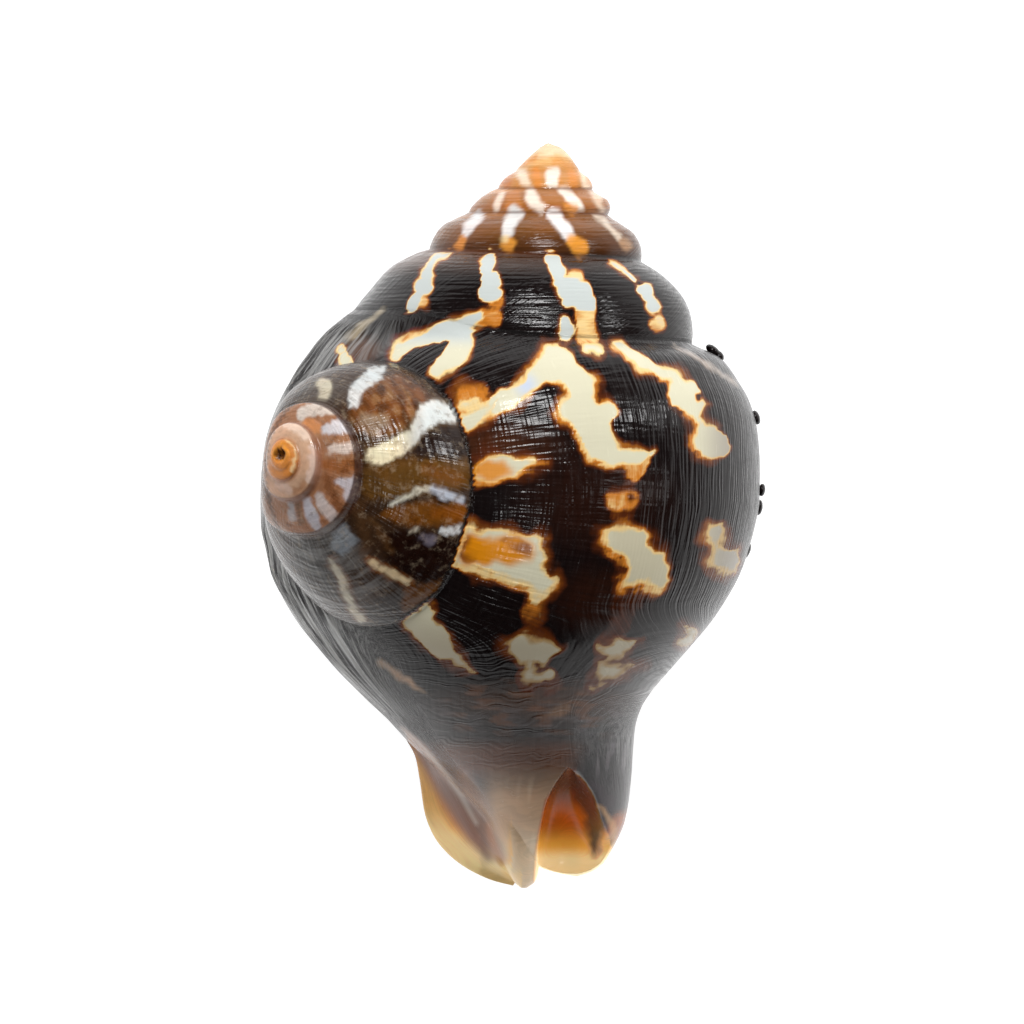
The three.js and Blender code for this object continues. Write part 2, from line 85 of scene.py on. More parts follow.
def smooth(a, b, q):
    t = np.clip((np.asarray(q, float) - a) / (b - a), 0, 1)
    return t * t * (3 - 2 * t)


def mix(a, b, t):
    return a + (b - a) * t


def place(p):
    p = np.asarray(p, float)
    return np.stack([(p[..., 0] - MID_U) * U, (MID_V - p[..., 1]) * U, (p[..., 2] + FLOOR) * U], -1)


# ------------------------------------------------- main spire and body, tables
suture = pchip([
    [0, 143.2], [1, 143.2], [1.25, 147], [1.5, 152], [1.75, 159],
    [2, 168], [2.25, 168.5], [2.5, 169.2], [2.75, 179],
    [3, 188.4], [3.25, 188.8], [3.5, 189.8], [3.75, 201],
    [4, 212.5], [4.25, 213], [4.5, 215.2], [4.75, 232],
    [5, 249.5], [5.25, 253.8], [5.5, 262.5], [5.75, 284],
    [6, 309.5], [6.12, 311.5], [6.16, 318], [6.2, 329], [6.27, 338],
    [6.42, 341.5], [6.5, 345], [6 + LIP / 360, 380],
])
axis_u = pchip([
    [143, 548.6], [310, 531.3], [490, 513], [600, 506], [680, 505],
    [720, 512], [760, 524], [800, 547], [840, 558], [865, 566], [878, 577],
])
dome_l = pchip([[143.2, 0], [144.5, 5], [147, 8], [150, 11], [159, 20], [168, 28], [190, 47]])
dome_r = pchip([[143.2, 0], [144.2, 6], [146, 10], [150, 16], [156, 22.5], [163, 28], [168, 32], [190, 48.5]])
SUT_L = [0, 0, 27.9, 45.8, 73, 108.4, 177]
SUT_R = [0, 0, 32.6, 48.6, 66.5, 105, 164.5]
G_L = {
    2: pchip([[0, 0], [0.15, 0.1], [0.44, 0.62], [0.75, 0.88], [1, 1]]),
    3: pchip([[0, 0], [0.1, 0.24], [0.35, 0.56], [0.65, 0.82], [1, 1]]),
    4: pchip([[0, 0], [0.11, 0.24], [0.38, 0.72], [0.65, 0.88], [1, 1]]),
    5: pchip([[0, 0], [0.06, 0.18], [0.14, 0.32], [0.24, 0.475], [0.42, 0.635], [0.69, 0.8], [1, 1]]),
}
G_R = {
    2: pchip([[0, 0], [0.1, 0.09], [0.43, 0.68], [0.86, 0.975], [1, 1]]),
    3: pchip([[0, 0], [0.08, 0.12], [0.22, 0.45], [0.42, 0.92], [0.72, 1.09], [1, 1]]),
    4: pchip([[0, 0], [0.21, 0.41], [0.4, 0.74], [0.72, 0.95], [1, 1]]),
    5: pchip([[0, 0], [0.115, 0.295], [0.31, 0.615], [0.455, 0.787], [0.65, 0.916], [0.87, 0.98], [1, 1]]),
}
edge_l = pchip([
    [309.5, 354], [319, 341.5], [329, 329], [342, 316.6], [356, 306.5], [370, 297], [382, 290],
    [394, 283], [406, 277], [424, 270], [448, 264], [472, 261.5], [500, 260.3], [526, 261],
    [550, 266], [574, 272], [598, 283], [622, 297.5], [646, 317], [670, 337], [694, 361],
    [718, 386], [738, 404], [752, 418], [765, 432], [780, 447], [800, 468], [820, 484], [840, 497],
    [855, 510], [864, 528], [870, 543], [875, 560], [878, 577],
])
edge_r = pchip([
    [345, 692.3], [350, 705], [357, 719], [366, 728], [381, 738], [396, 747], [410, 752.5],
    [425, 756.5], [440, 758.5], [466, 760], [502, 759.5], [526, 755], [550, 748.5], [574, 740],
    [598, 727], [622, 711], [646, 691], [670, 670], [694, 650], [708, 641.5], [728, 635.5],
    [750, 633.5], [775, 632], [800, 629.5], [814, 627], [826, 624], [838, 619], [850, 613],
    [862, 606.5], [869, 598.5], [874, 590], [878, 577],
])
top_z = pchip([
    [305, 170], [330, 172], [338, 176], [346, 187], [356, 200], [370, 214], [400, 233], [440, 245],
    [490, 250], [540, 245], [590, 229], [640, 199], [670, 172], [700, 140], [725, 110], [745, 84],
    [770, 55], [800, 18], [830, -24], [850, -62], [865, -100], [874, -130], [878, -150],
])
low_z = pchip([
    [280, 141], [300, 152], [330, 178], [360, 202], [400, 223], [440, 233], [490, 238], [560, 237],
    [640, 232], [745, 228], [800, 226], [825, 219], [845, 207], [862, 190], [874, 168], [878, 152],
])
low_right_z = pchip([
    [345, 172], [360, 205], [380, 240], [410, 272], [460, 290], [540, 292], [640, 275], [745, 240],
    [800, 228], [825, 219], [845, 207], [862, 190], [874, 168], [878, 152],
])
mid_z = pchip([
    [300, 0], [560, 0], [640, -14], [700, -42], [745, -82], [800, -112], [850, -132], [878, -151],
])


def spire_side(k, f, v, tables, sut, dome):
    if k <= 1:
        return dome(v)
    return sut[k] + (sut[k + 1] - sut[k]) * tables[k](f)


def spire_point(tau, f):
    f = np.asarray(f, float)
    k = int(math.floor(tau + 1e-9))
    psi = (tau - k) * 360
    v = mix(suture(tau), suture(tau + 1), f)
    c, s = math.cos(math.radians(psi)), math.sin(math.radians(psi))
    kk = min(k, 5)
    right = spire_side(kk, f, v, G_R, SUT_R, dome_r)
    left = spire_side(kk, f, v, G_L, SUT_L, dome_l)
    nk = min(k + 1, 5)
    after = axis_u(v) - edge_l(v) if k >= 5 else spire_side(nk, f, v, G_L, SUT_L, dome_l)
    if nk == 2:
        after = mix(dome_l(v), after, smooth(1.5, 2, tau))
    rx = left if psi <= 90 else (right if psi <= 270 else after)
    rz = (left + right) / 2 if psi <= 180 else (right + after) / 2
    if k >= 2:
        # each whorl bulges a little above the suture and is pinched below it
        amp = 0.25 + 0.25 * k
        fold = amp * ((smooth(0.3, 0.8, f) - smooth(0.86, 1, f)) - (smooth(0, 0.05, f) - smooth(0.08, 0.3, f)))
        rx, rz = rx + 0.55 * fold, rz + 1.5 * fold
    return np.stack([axis_u(v) - c * rx, v, s * rz], -1)


def body_radii(psi, v, flare):
    ax, zc = axis_u(v), mid_z(v)
    left, right = ax - edge_l(v), edge_r(v) - ax
    top = top_z(v) - zc
    low_l, low_r = low_z(v) + zc, low_right_z(v) + zc
    low = low_r if flare else mix(low_r, low_l, smooth(250, 285, psi))
    rx = np.where((psi <= 90) | (psi > 270), left, right)
    rz = np.where(psi <= 180, top, low)
    return rx, rz, ax, zc


END_ROW = 878.0
TIP = np.array([577, END_ROW, -151.0])


def body_point(tau, h, at_end=False):
    h = np.asarray(h, float)
    v0 = suture(tau)
    v = v0 + (END_ROW - v0) * h
    k = int(math.floor(tau + 1e-9))
    psi = (tau - k) * 360
    c, s = math.cos(math.radians(psi)), math.sin(math.radians(psi))
    rx, rz, ax, zc = body_radii(psi, v, False)
    p = np.stack([ax - c * rx, v, zc + s * rz], -1)
    if k < 6:
        q = spire_point(tau, np.minimum((v - v0) / (suture(tau + 1) - v0), 1))
        t = (1 - smooth(0, 50, v - v0))[..., None]
        blend = mix(p, q, t)
        p[..., 0], p[..., 2] = blend[..., 0], blend[..., 2]
    if k >= 6 and psi < 120:
        arc = psi * 4.36
        run = 0.5 + 0.5 * np.sin(v / 31.0 + arc / 37.0) * np.sin(v / 17.0 - arc / 23.0 + 1)
        folds = np.sin(2 * np.pi * (arc / 15.0 + 0.9 * np.sin(v / 47.0) + 0.35 * np.sin(v / 19.0 + 2)))
        folds = np.sign(folds) * np.abs(folds) ** 0.7 * run * smooth(0, 5, psi) * smooth(46, 24, psi)
        folds = folds * (smooth(505, 560, v) * smooth(740, 700, v) + smooth(318, 335, v) * smooth(430, 380, v))
        # faint swellings of growth, parallel to the junction of the second spire
        far = np.hypot(arc - 60, (v - 478) * 0.9)
        swell = np.sin(far / 9.5 + 0.6 * np.sin(v / 60.0)) * smooth(120, 190, far) * smooth(345, 375, v) * smooth(700, 660, v)
        grow = 1 + (2.6 * folds + 0.32 * swell) / 250
        p[..., 0] = ax + (p[..., 0] - ax) * grow
        p[..., 2] = zc + (p[..., 2] - zc) * grow
    p[h >= 1 - 1e-9] = TIP
    return p


# ------------------------------------------------------------------ mesh makers
def coil(turns, rows_of, last_rows, hp, point, last_point):
    """turns: growth angle of each column; one turn is COLS of them."""
    n_turn = turns["per_turn"]
    taus = turns["taus"]
    pos, tris = [], []

    def add(ps):
        start = len(pos)
        pos.extend(ps)
        return list(range(start, start + len(ps)))

    def zipper(a, b):
        i = j = 0
        while i < len(a) - 1 or j < len(b) - 1:
            go = j == len(b) - 1 or (i < len(a) - 1 and a[i + 1][0] <= b[j + 1][0] + 1e-9)
            if go:
                tris.append((a[i][1], a[i + 1][1], b[j][1]))
                i += 1
            else:
                tris.append((a[i][1], b[j + 1][1], b[j][1]))
                j += 1

    last_start = len(taus) - 1 - n_turn
    cols = []
    for i in range(last_start + 1):
        f = np.linspace(0, 1, rows_of(taus[i]) + 1)
        ps = point(taus[i], f)
        if i >= n_turn:
            ids = [cols[i - n_turn][-1][1]] + add(ps[1:])
        else:
            ids = add(ps)
        cols.append(list(zip(f, ids)))
    for i in range(last_start):
        zipper(cols[i], cols[i + 1])
    n_p = len(cols[last_start]) - 1
    last = []
    for i in range(last_start, len(taus)):
        lower = list(last_rows(taus[i]))
        hs = list(np.linspace(0, hp, n_p + 1)) + lower
        if i == last_start:
            ids = [c[1] for c in cols[i]] + add(last_point(taus[i], np.array(lower), False))
        else:
            ids = [cols[i - n_turn][-1][1]] + add(last_point(taus[i], np.array(hs[1:]), i == len(taus) - 1))
        last.append(list(zip(hs, ids)))
    for i in range(len(last) - 1):
        zipper(last[i], last[i + 1])
    inner = last[0][n_p:]
    span = inner[-1][0] - inner[0][0]
    zipper(last[-1], [((h - inner[0][0]) / span, q) for h, q in inner])
    return np.array(pos), np.array(tris)


def loft(rings):
    rings = np.asarray(rings, float)
    m, n = rings.shape[0], rings.shape[1]
    pos = rings.reshape(-1, 3)
    j = np.arange(n)
    k = (j + 1) % n
    tris = []
    for i in range(m - 1):
        a, b = i * n + j, i * n + k
        tris.append(np.stack([a, b, a + n], -1))
        tris.append(np.stack([b, b + n, a + n], -1))
    pos = np.vstack([pos, rings[0].mean(0), rings[-1].mean(0)])
    tris.append(np.stack([k, j, np.full(n, m * n)], -1))
    tris.append(np.stack([(m - 1) * n + j, (m - 1) * n + k, np.full(n, m * n + 1)], -1))
    return pos, np.vstack(tris)


def weld(pos, tris, tol=1e-10):
    key = np.round(pos / tol).astype(np.int64)
    _, first, inv = np.unique(key, axis=0, return_index=True, return_inverse=True)
    inv = inv.reshape(-1)
    tris = inv[tris]
    ok = (tris[:, 0] != tris[:, 1]) & (tris[:, 1] != tris[:, 2]) & (tris[:, 0] != tris[:, 2])
    return pos[first], tris[ok]


def outward(pos, tris):
    a, b, c = pos[tris[:, 0]], pos[tris[:, 1]], pos[tris[:, 2]]
    if np.einsum("ij,ij->i", a, np.cross(b, c)).sum() < 0:
        tris = tris[:, ::-1]
    return pos, tris


def mesh_object(name, pos, tris):
    pos, tris = outward(*weld(pos, tris))
    sides = np.vstack([tris[:, [0, 1]], tris[:, [1, 2]], tris[:, [2, 0]]])
    code = sides[:, 0].astype(np.int64) * len(pos) + sides[:, 1]
    back = sides[:, 1].astype(np.int64) * len(pos) + sides[:, 0]
    if len(np.unique(code)) != len(code) or not np.array_equal(np.sort(code), np.sort(back)):
        print("not closed:", name, len(code) - len(np.unique(code)))
    me = bpy.data.meshes.new(name)
    me.from_pydata(pos.tolist(), [], tris.tolist())
    me.validate()
    ob = bpy.data.objects.new(name, me)
    bpy.context.scene.collection.objects.link(ob)
    return ob


def boolean(ob, other, how):
    mod = ob.modifiers.new("cut", "BOOLEAN")
    mod.object = other
    mod.operation = how
    mod.solver = "MANIFOLD"
    deps = bpy.context.evaluated_depsgraph_get()
    deps.update()
    me = bpy.data.meshes.new_from_object(ob.evaluated_get(deps))
    before = len(ob.data.polygons)
    ob.modifiers.remove(mod)
    if len(me.polygons) < 100:
        raise SystemExit("a boolean step gave an empty mesh")
    old = ob.data
    ob.data = me
    bpy.data.meshes.remove(old)
    other_mesh = other.data
    bpy.data.objects.remove(other)
    bpy.data.meshes.remove(other_mesh)
    print("boolean", how, before, "->", len(me.polygons))


# --------------------------------------------------------- body and main spire
def turn_angles(whole, extra):
    """Growth angle of each column: finely spaced on top, wider underneath."""
    one = np.concatenate([np.linspace(0, 0.5, COLS_TOP, endpoint=False),
                          np.linspace(0.5, 1, COLS_LOW, endpoint=False)])
    taus = np.concatenate([one + k for k in range(whole)] + [one[:COLS_TOP + extra + 1] + whole])
    return {"per_turn": COLS, "taus": taus}


EXTRA = COLS_LOW // 3
body_turns = turn_angles(6, EXTRA)
TURN_END = body_turns["taus"][-1]
V_TOP = float(suture(TURN_END - 1))
HP = float((suture(TURN_END) - V_TOP) / (END_ROW - V_TOP))


def body_rows(tau):
    top = (tau % 1) < 0.52 or (tau % 1) > 0.97
    n = 170 if top else 56
    j = np.arange(1, n + 1) / n
    return HP + (1 - HP) * (1 - (1 - j) ** 1.15)


def whorl_rows(t):
    return 2 if t < 1 else 6 if t < 2 else 8 if t < 3 else 10 if t < 4 else 15 if t < 5 else 22


pos, tris = coil(body_turns, whorl_rows, body_rows, HP, spire_point, body_point)
shell = mesh_object("shell_visual", place(pos), tris)
print("body", len(shell.data.polygons))

# --------------------------------------------------------------- budded spire
bud_up = np.array([0, 1, 0]) - BUD_NORMAL[1] * BUD_NORMAL
bud_up = bud_up / np.linalg.norm(bud_up)
bud_side = np.cross(bud_up, BUD_NORMAL)
bud_side = bud_side / np.linalg.norm(bud_side)
bud_s = pchip([
    [0, 0], [1, 0], [1.5, 4], [2, 7], [2.5, 9], [2.75, 12], [3, 18], [3.25, 23], [3.5, 25], [3.75, 28],
    [4, 36], [4.25, 46], [4.5, 50], [4.75, 54], [5, 96], [5.25, 146], [5.5, 148], [5.75, 148], [6, 148],
])
bud_r = pchip([
    [0, 0], [1, 0], [1.5, 12], [2, 16], [2.5, 19], [2.75, 23], [3, 31], [3.25, 37], [3.5, 35], [3.75, 39],
    [4, 52], [4.25, 62], [4.5, 68], [4.75, 68], [5, 99], [5.25, 130], [5.5, 131], [5.75, 131], [6, 131],
])
bud_g = pchip([[0, 0], [0.12, 0.3], [0.3, 0.6], [0.55, 0.86], [0.8, 0.98], [1, 1]])
bud_g4 = pchip([[0, 0], [0.06, 0.13], [0.2, 0.36], [0.45, 0.66], [0.75, 0.88], [1, 1]])


def bud_place(s, r, tau):
    a = 2 * math.pi * (tau - math.floor(tau))
    s = s + 12 * np.exp(-(r / 5.2) ** 4)      # the small pit at its apex
    p = (BUD_TIP - BUD_AXIS * np.asarray(s)[..., None]
         - bud_side * (math.cos(a) * np.asarray(r))[..., None]
         + bud_up * (math.sin(a) * np.asarray(r))[..., None])
    u, v = p[..., 0] + 513, 490 - p[..., 1]
    # flattened where it meets the outline of the shell on the left
    out = np.maximum(edge_l(v) + 9 - u, 0)
    u = u + out - 9.5 * (1 - np.exp(-out / 9.5))
    return np.stack([u, v, p[..., 2]], -1)


def bud_point(tau, f):
    f = np.asarray(f, float)
    s0, s1, r0, r1 = bud_s(tau), bud_s(tau + 1), bud_r(tau), bud_r(tau + 1)
    g = bud_g4 if tau >= 4 else bud_g
    # each whorl stands a little proud of the next one along its edge
    lip = (smooth(0.35, 0.85, f) - smooth(0.9, 1, f)) * 2.6 * smooth(1.9, 2.8, tau)
    dip = -1.2 * (smooth(0, 0.05, f) - smooth(0.1, 0.35, f)) * smooth(2.6, 3.2, tau)
    return bud_place(mix(s0, s1, f) - lip - dip, r0 + (r1 - r0) * g(f), tau)


BUD_END, BUD_HP, BUD_SPLIT = 5, 0.42, 0.8


def bud_last(tau, h, at_end):
    h = np.asarray(h, float)
    s0, r0 = bud_s(tau), bud_r(tau)
    f = h / BUD_SPLIT
    g = np.clip((h - BUD_SPLIT) / (1 - BUD_SPLIT), 0, 1)
    s = np.where(h <= BUD_SPLIT, mix(s0, 150, f), mix(150, 215, g))
    r = np.where(h <= BUD_SPLIT, r0 + (132 - r0) * bud_g4(f), mix(132, 0, g * g))
    if at_end:
        r = r + 2.5 * np.sin(np.pi * h)
    return bud_place(s, r, tau)


bud_turns = {"per_turn": BUD_COLS, "taus": np.arange(0, BUD_END * BUD_COLS + 1) / BUD_COLS}
pos, tris = coil(bud_turns, lambda t: 8 if t < 1 else 10 if t < 2 else 13 if t < 3 else 26,
                 lambda t: np.linspace(BUD_HP, 1, 40)[1:], BUD_HP, bud_point, bud_last)
bud = mesh_object("bud", place(pos), tris)
print("bud", len(bud.data.polygons))
boolean(shell, bud, "UNION")

# ---------------------------------------------------- siphonal end: the column
column = np.array([
    [690, 512, 96, 118, -130], [720, 511, 88, 100, -150], [745, 511, 72, 76, -160], [770, 516, 47, 40, -165],
    [796, 518, 35, 2, -170], [820, 518, 28, -32, -175], [840, 518, 24, -56, -178], [860, 519, 21, -84, -178],
    [875, 523, 15, -110, -176], [884, 524.5, 10, -129, -172], [889.5, 524, 3, -142, -158],
], float)


def finer(rows, count):
    """The same loft with more rings, through smooth curves."""
    rows = np.asarray(rows, float)
    flat = rows.reshape(len(rows), -1)
    t = np.linspace(0, len(rows) - 1, count)
    out = np.stack([pchip(list(zip(range(len(rows)), flat[:, c])))(t) for c in range(flat.shape[1])], -1)
    return out.reshape((count,) + rows.shape[1:])


col_fine = finer(column, 60)
ang = np.linspace(0, 2 * np.pi, 56, endpoint=False)
rings = [np.stack([cu + w * np.cos(ang), np.full(56, v), (z1 + z0) / 2 + (z1 - z0) / 2 * np.sin(ang)], -1)
         for v, cu, w, z1, z0 in col_fine]
pos, tris = loft(rings)
boolean(shell, mesh_object("column", place(pos), tris), "UNION")

# ------------------------------------------ siphonal end: flange on the left
flange = np.array([
    [[397, 726, -62], [404, 729, -50], [424, 722, -40], [450, 712, -40]],
    [[407, 742, -86], [414, 737, -60], [438, 735, -48], [465, 728, -36]],
    [[415, 758, -112], [429, 751, -66], [450, 752, -56], [480, 746, -38]],
    [[419.5, 782, -138], [442, 770, -77], [462, 772, -68], [490, 768, -46]],
    [[424, 813, -160], [456, 790, -88], [474, 795, -79], [500, 794, -58]],
    [[432.5, 836, -170], [468, 812, -101], [485, 818, -93], [508, 818, -72]],
    [[447, 855, -174], [478, 834, -115], [493, 840, -108], [513, 840, -88]],
    [[468, 871, -174], [489, 854, -133], [502, 859, -129], [517, 858, -112]],
    [[493, 882.5, -172], [502, 869, -148], [511, 871, -144], [520, 870, -132]],
    [[513, 887.5, -170], [515, 880, -152], [519, 880, -148], [524, 879, -142]],
], float)
flange_fine = finer(flange, 60)


def flange_ring(row):
    edge, ridge, groove, root = row
    half = mix(edge, ridge, 0.5) + [0, 0, -7]
    t = np.linspace(0, 4, 25)
    top = np.stack([pchip(list(zip(range(5), np.array([edge, half, ridge, groove, root])[:, c])))(t)
                    for c in range(3)], -1)
    thick = pchip([[0, 7], [1, 15], [2, 22], [3, 26], [4, 30]])(t)
    low = top.copy()
    low[:, 2] -= thick
    return np.vstack([top, low[::-1]])


rings = [flange_ring(r) for r in flange_fine]
pos, tris = loft(rings)
boolean(shell, mesh_object("flange", place(pos), tris), "UNION")

# ------------------------------------------------- scales on the right margin
SCALES = [  # u, v, z, half length, half height above the surface, tilt of its length
    [713, 350.5, -6, 8.5, 4.5, 38], [719, 356, -8, 6, 4.5, 50],
    [756, 417.5, -10, 7.5, 4.0, 72],
    [762.0, 490, -12, 6.5, 3.4, 97], [759.0, 507.5, -14, 8.0, 3.8, 99],
    [746.5, 551, -12, 8.5, 3.8, 112], [741.5, 563, -14, 4.0, 2.6, 116],
]
for u, v, z, a, b, tilt in SCALES:
    th = np.linspace(0, np.pi, 11)
    ph = np.linspace(0, 2 * np.pi, 20, endpoint=False)
    t = math.radians(tilt)
    ring_list = []
    for q in th[1:-1]:
        lx = a * math.cos(q)
        ly = b * math.sin(q) * np.cos(ph)
        lz = 9 * math.sin(q) * np.sin(ph)
        ring_list.append(np.stack([u + lx * math.cos(t) + ly * math.sin(t),
                                   v + lx * math.sin(t) - ly * math.cos(t), z + lz], -1))
    pos, tris = loft(ring_list)
    boolean(shell, mesh_object("scale", place(pos), tris), "UNION")

# -------------------------------------------- siphonal notch, open on top
scoop = np.array([
    [767, 567, 571, 40], [771, 564, 574, 4], [779, 558.5, 578, -44], [790, 552, 582, -80], [808, 545, 587, -106],
    [828, 541, 594, -124], [846, 538.5, 603, -136], [858, 537.5, 608, -140], [868, 538, 608, -142],
    [880, 539, 605, -138], [900, 540, 600, -130],
], float)
rings = []
for v, a, b, z in finer(scoop, 64):
    c, w = (a + b) / 2, (b - a) / 2
    t = np.pi * (1 + np.linspace(0, 1, 33))
    uu = c + w * np.sign(np.cos(t)) * np.abs(np.cos(t)) ** 0.8
    zz = z + 30 * (1 + np.sin(t)) + 20 * (t / np.pi - 1) ** 2
    uu = uu + 7 * smooth(0.55, 1, t / np.pi - 1) * smooth(775, 800, v)
    ring = np.stack([uu, np.full(33, v), zz], -1)
    rings.append(np.vstack([ring, [[b + 13 * float(smooth(775, 800, v)), v, 160], [a - 2, v, 160]]]))
pos, tris = loft(rings)
boolean(shell, mesh_object("scoop", place(pos), tris), "DIFFERENCE")


# ------------------------------------ the hollow of the last whorl: aperture
def cavity_ring(psi, n=26):
    t = (CAVITY_FROM - psi) / (CAVITY_FROM - CAVITY_TO)
    v0 = mix(402, 430, smooth(0, 1, t)) + 25 * smooth(0.8, 1, t)
    v1 = mix(768, 640, smooth(0.12, 0.85, t)) - 40 * smooth(0.8, 1, t)
    q = np.arange(n) / n
    e = (1 - np.abs(2 * q - 1) ** 3.2) ** (1 / 3.2)

    def at(v, is_outer, e):
        rx, rz, ax, zc = body_radii(psi, v, True)
        mean = (rx + rz) / 2
        wall = WALL + 14 * smooth(0.5, 1, t)
        out = 1 - wall / mean - 0.16 * smooth(0.85, 1, t)
        inn = np.minimum(COLUMELLA * (1 + 0.8 * smooth(0.5, 1, t)) / mean, out - 0.1)
        m = (out + inn) / 2
        rho = m + (out - m) * e if is_outer else m - (m - inn) * e
        a = math.radians(psi)
        return np.stack([ax - math.cos(a) * rx * rho, v, zc + math.sin(a) * rz * rho], -1)
    e2 = (1 - np.abs(2 * (1 - q) - 1) ** 3.2) ** (1 / 3.2)
    return np.vstack([at(mix(v0, v1, q), True, e), at(mix(v0, v1, 1 - q), False, e2)])


rings = [cavity_ring(mix(CAVITY_FROM, CAVITY_TO, i / 60)) for i in range(61)]
pos, tris = loft(rings)
boolean(shell, mesh_object("hollow", place(pos), tris), "DIFFERENCE")

# ---------------------------------------------------------- flat resting plane
box = np.array([[x, y, z] for z in (-0.02, 0) for y in (-0.05, 0.05) for x in (-0.05, 0.05)])
quads = [[0, 2, 3], [0, 3, 1], [4, 5, 7], [4, 7, 6], [0, 1, 5], [0, 5, 4], [2, 6, 7], [2, 7, 3], [0, 4, 6],
         [0, 6, 2], [1, 3, 7], [1, 7, 5]]
boolean(shell, mesh_object("below", box, np.array(quads)), "DIFFERENCE")

# triangles only, so that the count is plain
me = shell.data
me.shade_smooth()
print("shell", len(me.polygons), "faces", len(me.vertices), "vertices")

# ================================================================== the colours
n = len(me.vertices)
co = np.empty(n * 3)
me.vertices.foreach_get("co", co)
co = co.reshape(-1, 3)
nor = np.empty(n * 3)
me.vertex_normals.foreach_get("vector", nor)
nor = nor.reshape(-1, 3)
gu = co[:, 0] / U + MID_U
gv = MID_V - co[:, 1] / U
gz = co[:, 2] / U - FLOOR


def lin(rgb):
    c = np.array(rgb, float) / 255
    return np.where(c <= 0.04045, c / 12.92, ((c + 0.055) / 1.055) ** 2.4)


def wobble(x, y, seed, size):
    """Smooth made-up unevenness, about -1 to 1."""
    rng = np.random.default_rng(seed)
    out = np.zeros_like(x)
    for _ in range(7):
        a = rng.uniform(0, 2 * np.pi)
        k = 2 * np.pi / (size * rng.uniform(0.7, 1.5))
        out += np.sin(x * k * math.cos(a) + y * k * math.sin(a) + rng.uniform(0, 6.28))
    return out / 3.2


wu = gu + 1.6 * wobble(gu, gv, 1, 26) + 0.8 * wobble(gu, gv, 2, 11)
wv = gv + 1.6 * wobble(gu, gv, 3, 26) + 0.8 * wobble(gu, gv, 4, 11)


def polygon(points, x=None, y=None):
    """Signed distance, positive inside."""
    x = wu if x is None else x
    y = wv if y is None else y
    p = np.array(points, float)
    d = np.full(len(x), 1e9)
    inside = np.zeros(len(x), bool)
    for i in range(len(p)):
        a, b = p[i], p[(i + 1) % len(p)]
        e = b - a
        t = np.clip(((x - a[0]) * e[0] + (y - a[1]) * e[1]) / (e @ e + 1e-9), 0, 1)
        d = np.minimum(d, np.hypot(x - a[0] - t * e[0], y - a[1] - t * e[1]))
        cross = (a[1] > y) != (b[1] > y)
        with np.errstate(divide="ignore", invalid="ignore"):
            hit = x < (b[0] - a[0]) * (y - a[1]) / (b[1] - a[1]) + a[0]
        inside ^= cross & hit
    return np.where(inside, d, -d)


def stroke(points, x=None, y=None):
    """Signed distance to a line of changing half width: u, v, r."""
    x = wu if x is None else x
    y = wv if y is None else y
    p = np.array(points, float)
    best = np.full(len(x), -1e9)
    if len(p) == 1:
        return p[0, 2] - np.hypot(x - p[0, 0], y - p[0, 1])
    for a, b in zip(p[:-1], p[1:]):
        e = b[:2] - a[:2]
        t = np.clip(((x - a[0]) * e[0] + (y - a[1]) * e[1]) / (e @ e + 1e-9), 0, 1)
        d = np.hypot(x - a[0] - t * e[0], y - a[1] - t * e[1])
        best = np.maximum(best, a[2] + (b[2] - a[2]) * t - d)
    return best


def ellipse(cu, cv, ru, rv, turn=0):
    t = math.radians(turn)
    dx, dy = wu - cu, wv - cv
    a = (dx * math.cos(t) + dy * math.sin(t)) / ru
    b = (-dx * math.sin(t) + dy * math.cos(t)) / rv
    return (1 - np.hypot(a, b)) * min(ru, rv)


# the flange and the column grow smoothly out of the body, and the right wall
# of the notch rolls over rather than ending in a sharp edge
seams = np.maximum(stroke([(440, 730, 10), (462, 752, 16), (471, 772, 18), (484, 796, 18), (491, 820, 16),
                           (495, 842, 12), (500, 860, 8)], gu, gv),
                   stroke([(505, 705, 62), (508, 745, 52), (512, 765, 34)], gu, gv))
seam_w = smooth(-8, 6, seams) * smooth(-0.15, 0.15, nor[:, 2]) * smooth(545, 535, gu + np.maximum(0, 775 - gv) * -0.6)
roll = stroke([(577, 778, 3), (586, 800, 8), (595, 822, 10), (604, 842, 10), (611, 856, 6)], gu, gv)
roll_w = smooth(-6, 6, roll) * smooth(-0.5, 0.0, nor[:, 2])
weight = np.maximum(seam_w, roll_w * 0.9)
edges = np.empty(len(me.edges) * 2, np.int32)
me.edges.foreach_get("vertices", edges)
edges = edges.reshape(-1, 2)
near = (weight[edges] > 0).any(1)
edges = edges[near]
both = np.vstack([edges, edges[:, ::-1]])
count = np.bincount(both[:, 0], minlength=n)
for _ in range(70):
    mean = np.stack([np.bincount(both[:, 0], co[both[:, 1], c], n) for c in range(3)], -1) / np.maximum(count, 1)[:, None]
    co = co + (mean - co) * (0.6 * weight * (count > 2))[:, None]
me.vertices.foreach_set("co", co.ravel())
me.update()
me.vertex_normals.foreach_get("vector", flat_nor := np.empty(n * 3))
nor = flat_nor.reshape(-1, 3)
gu = co[:, 0] / U + MID_U
gv = MID_V - co[:, 1] / U
gz = co[:, 2] / U - FLOOR
wu = gu + 1.6 * wobble(gu, gv, 1, 26) + 0.8 * wobble(gu, gv, 2, 11)
wv = gv + 1.6 * wobble(gu, gv, 3, 26) + 0.8 * wobble(gu, gv, 4, 11)

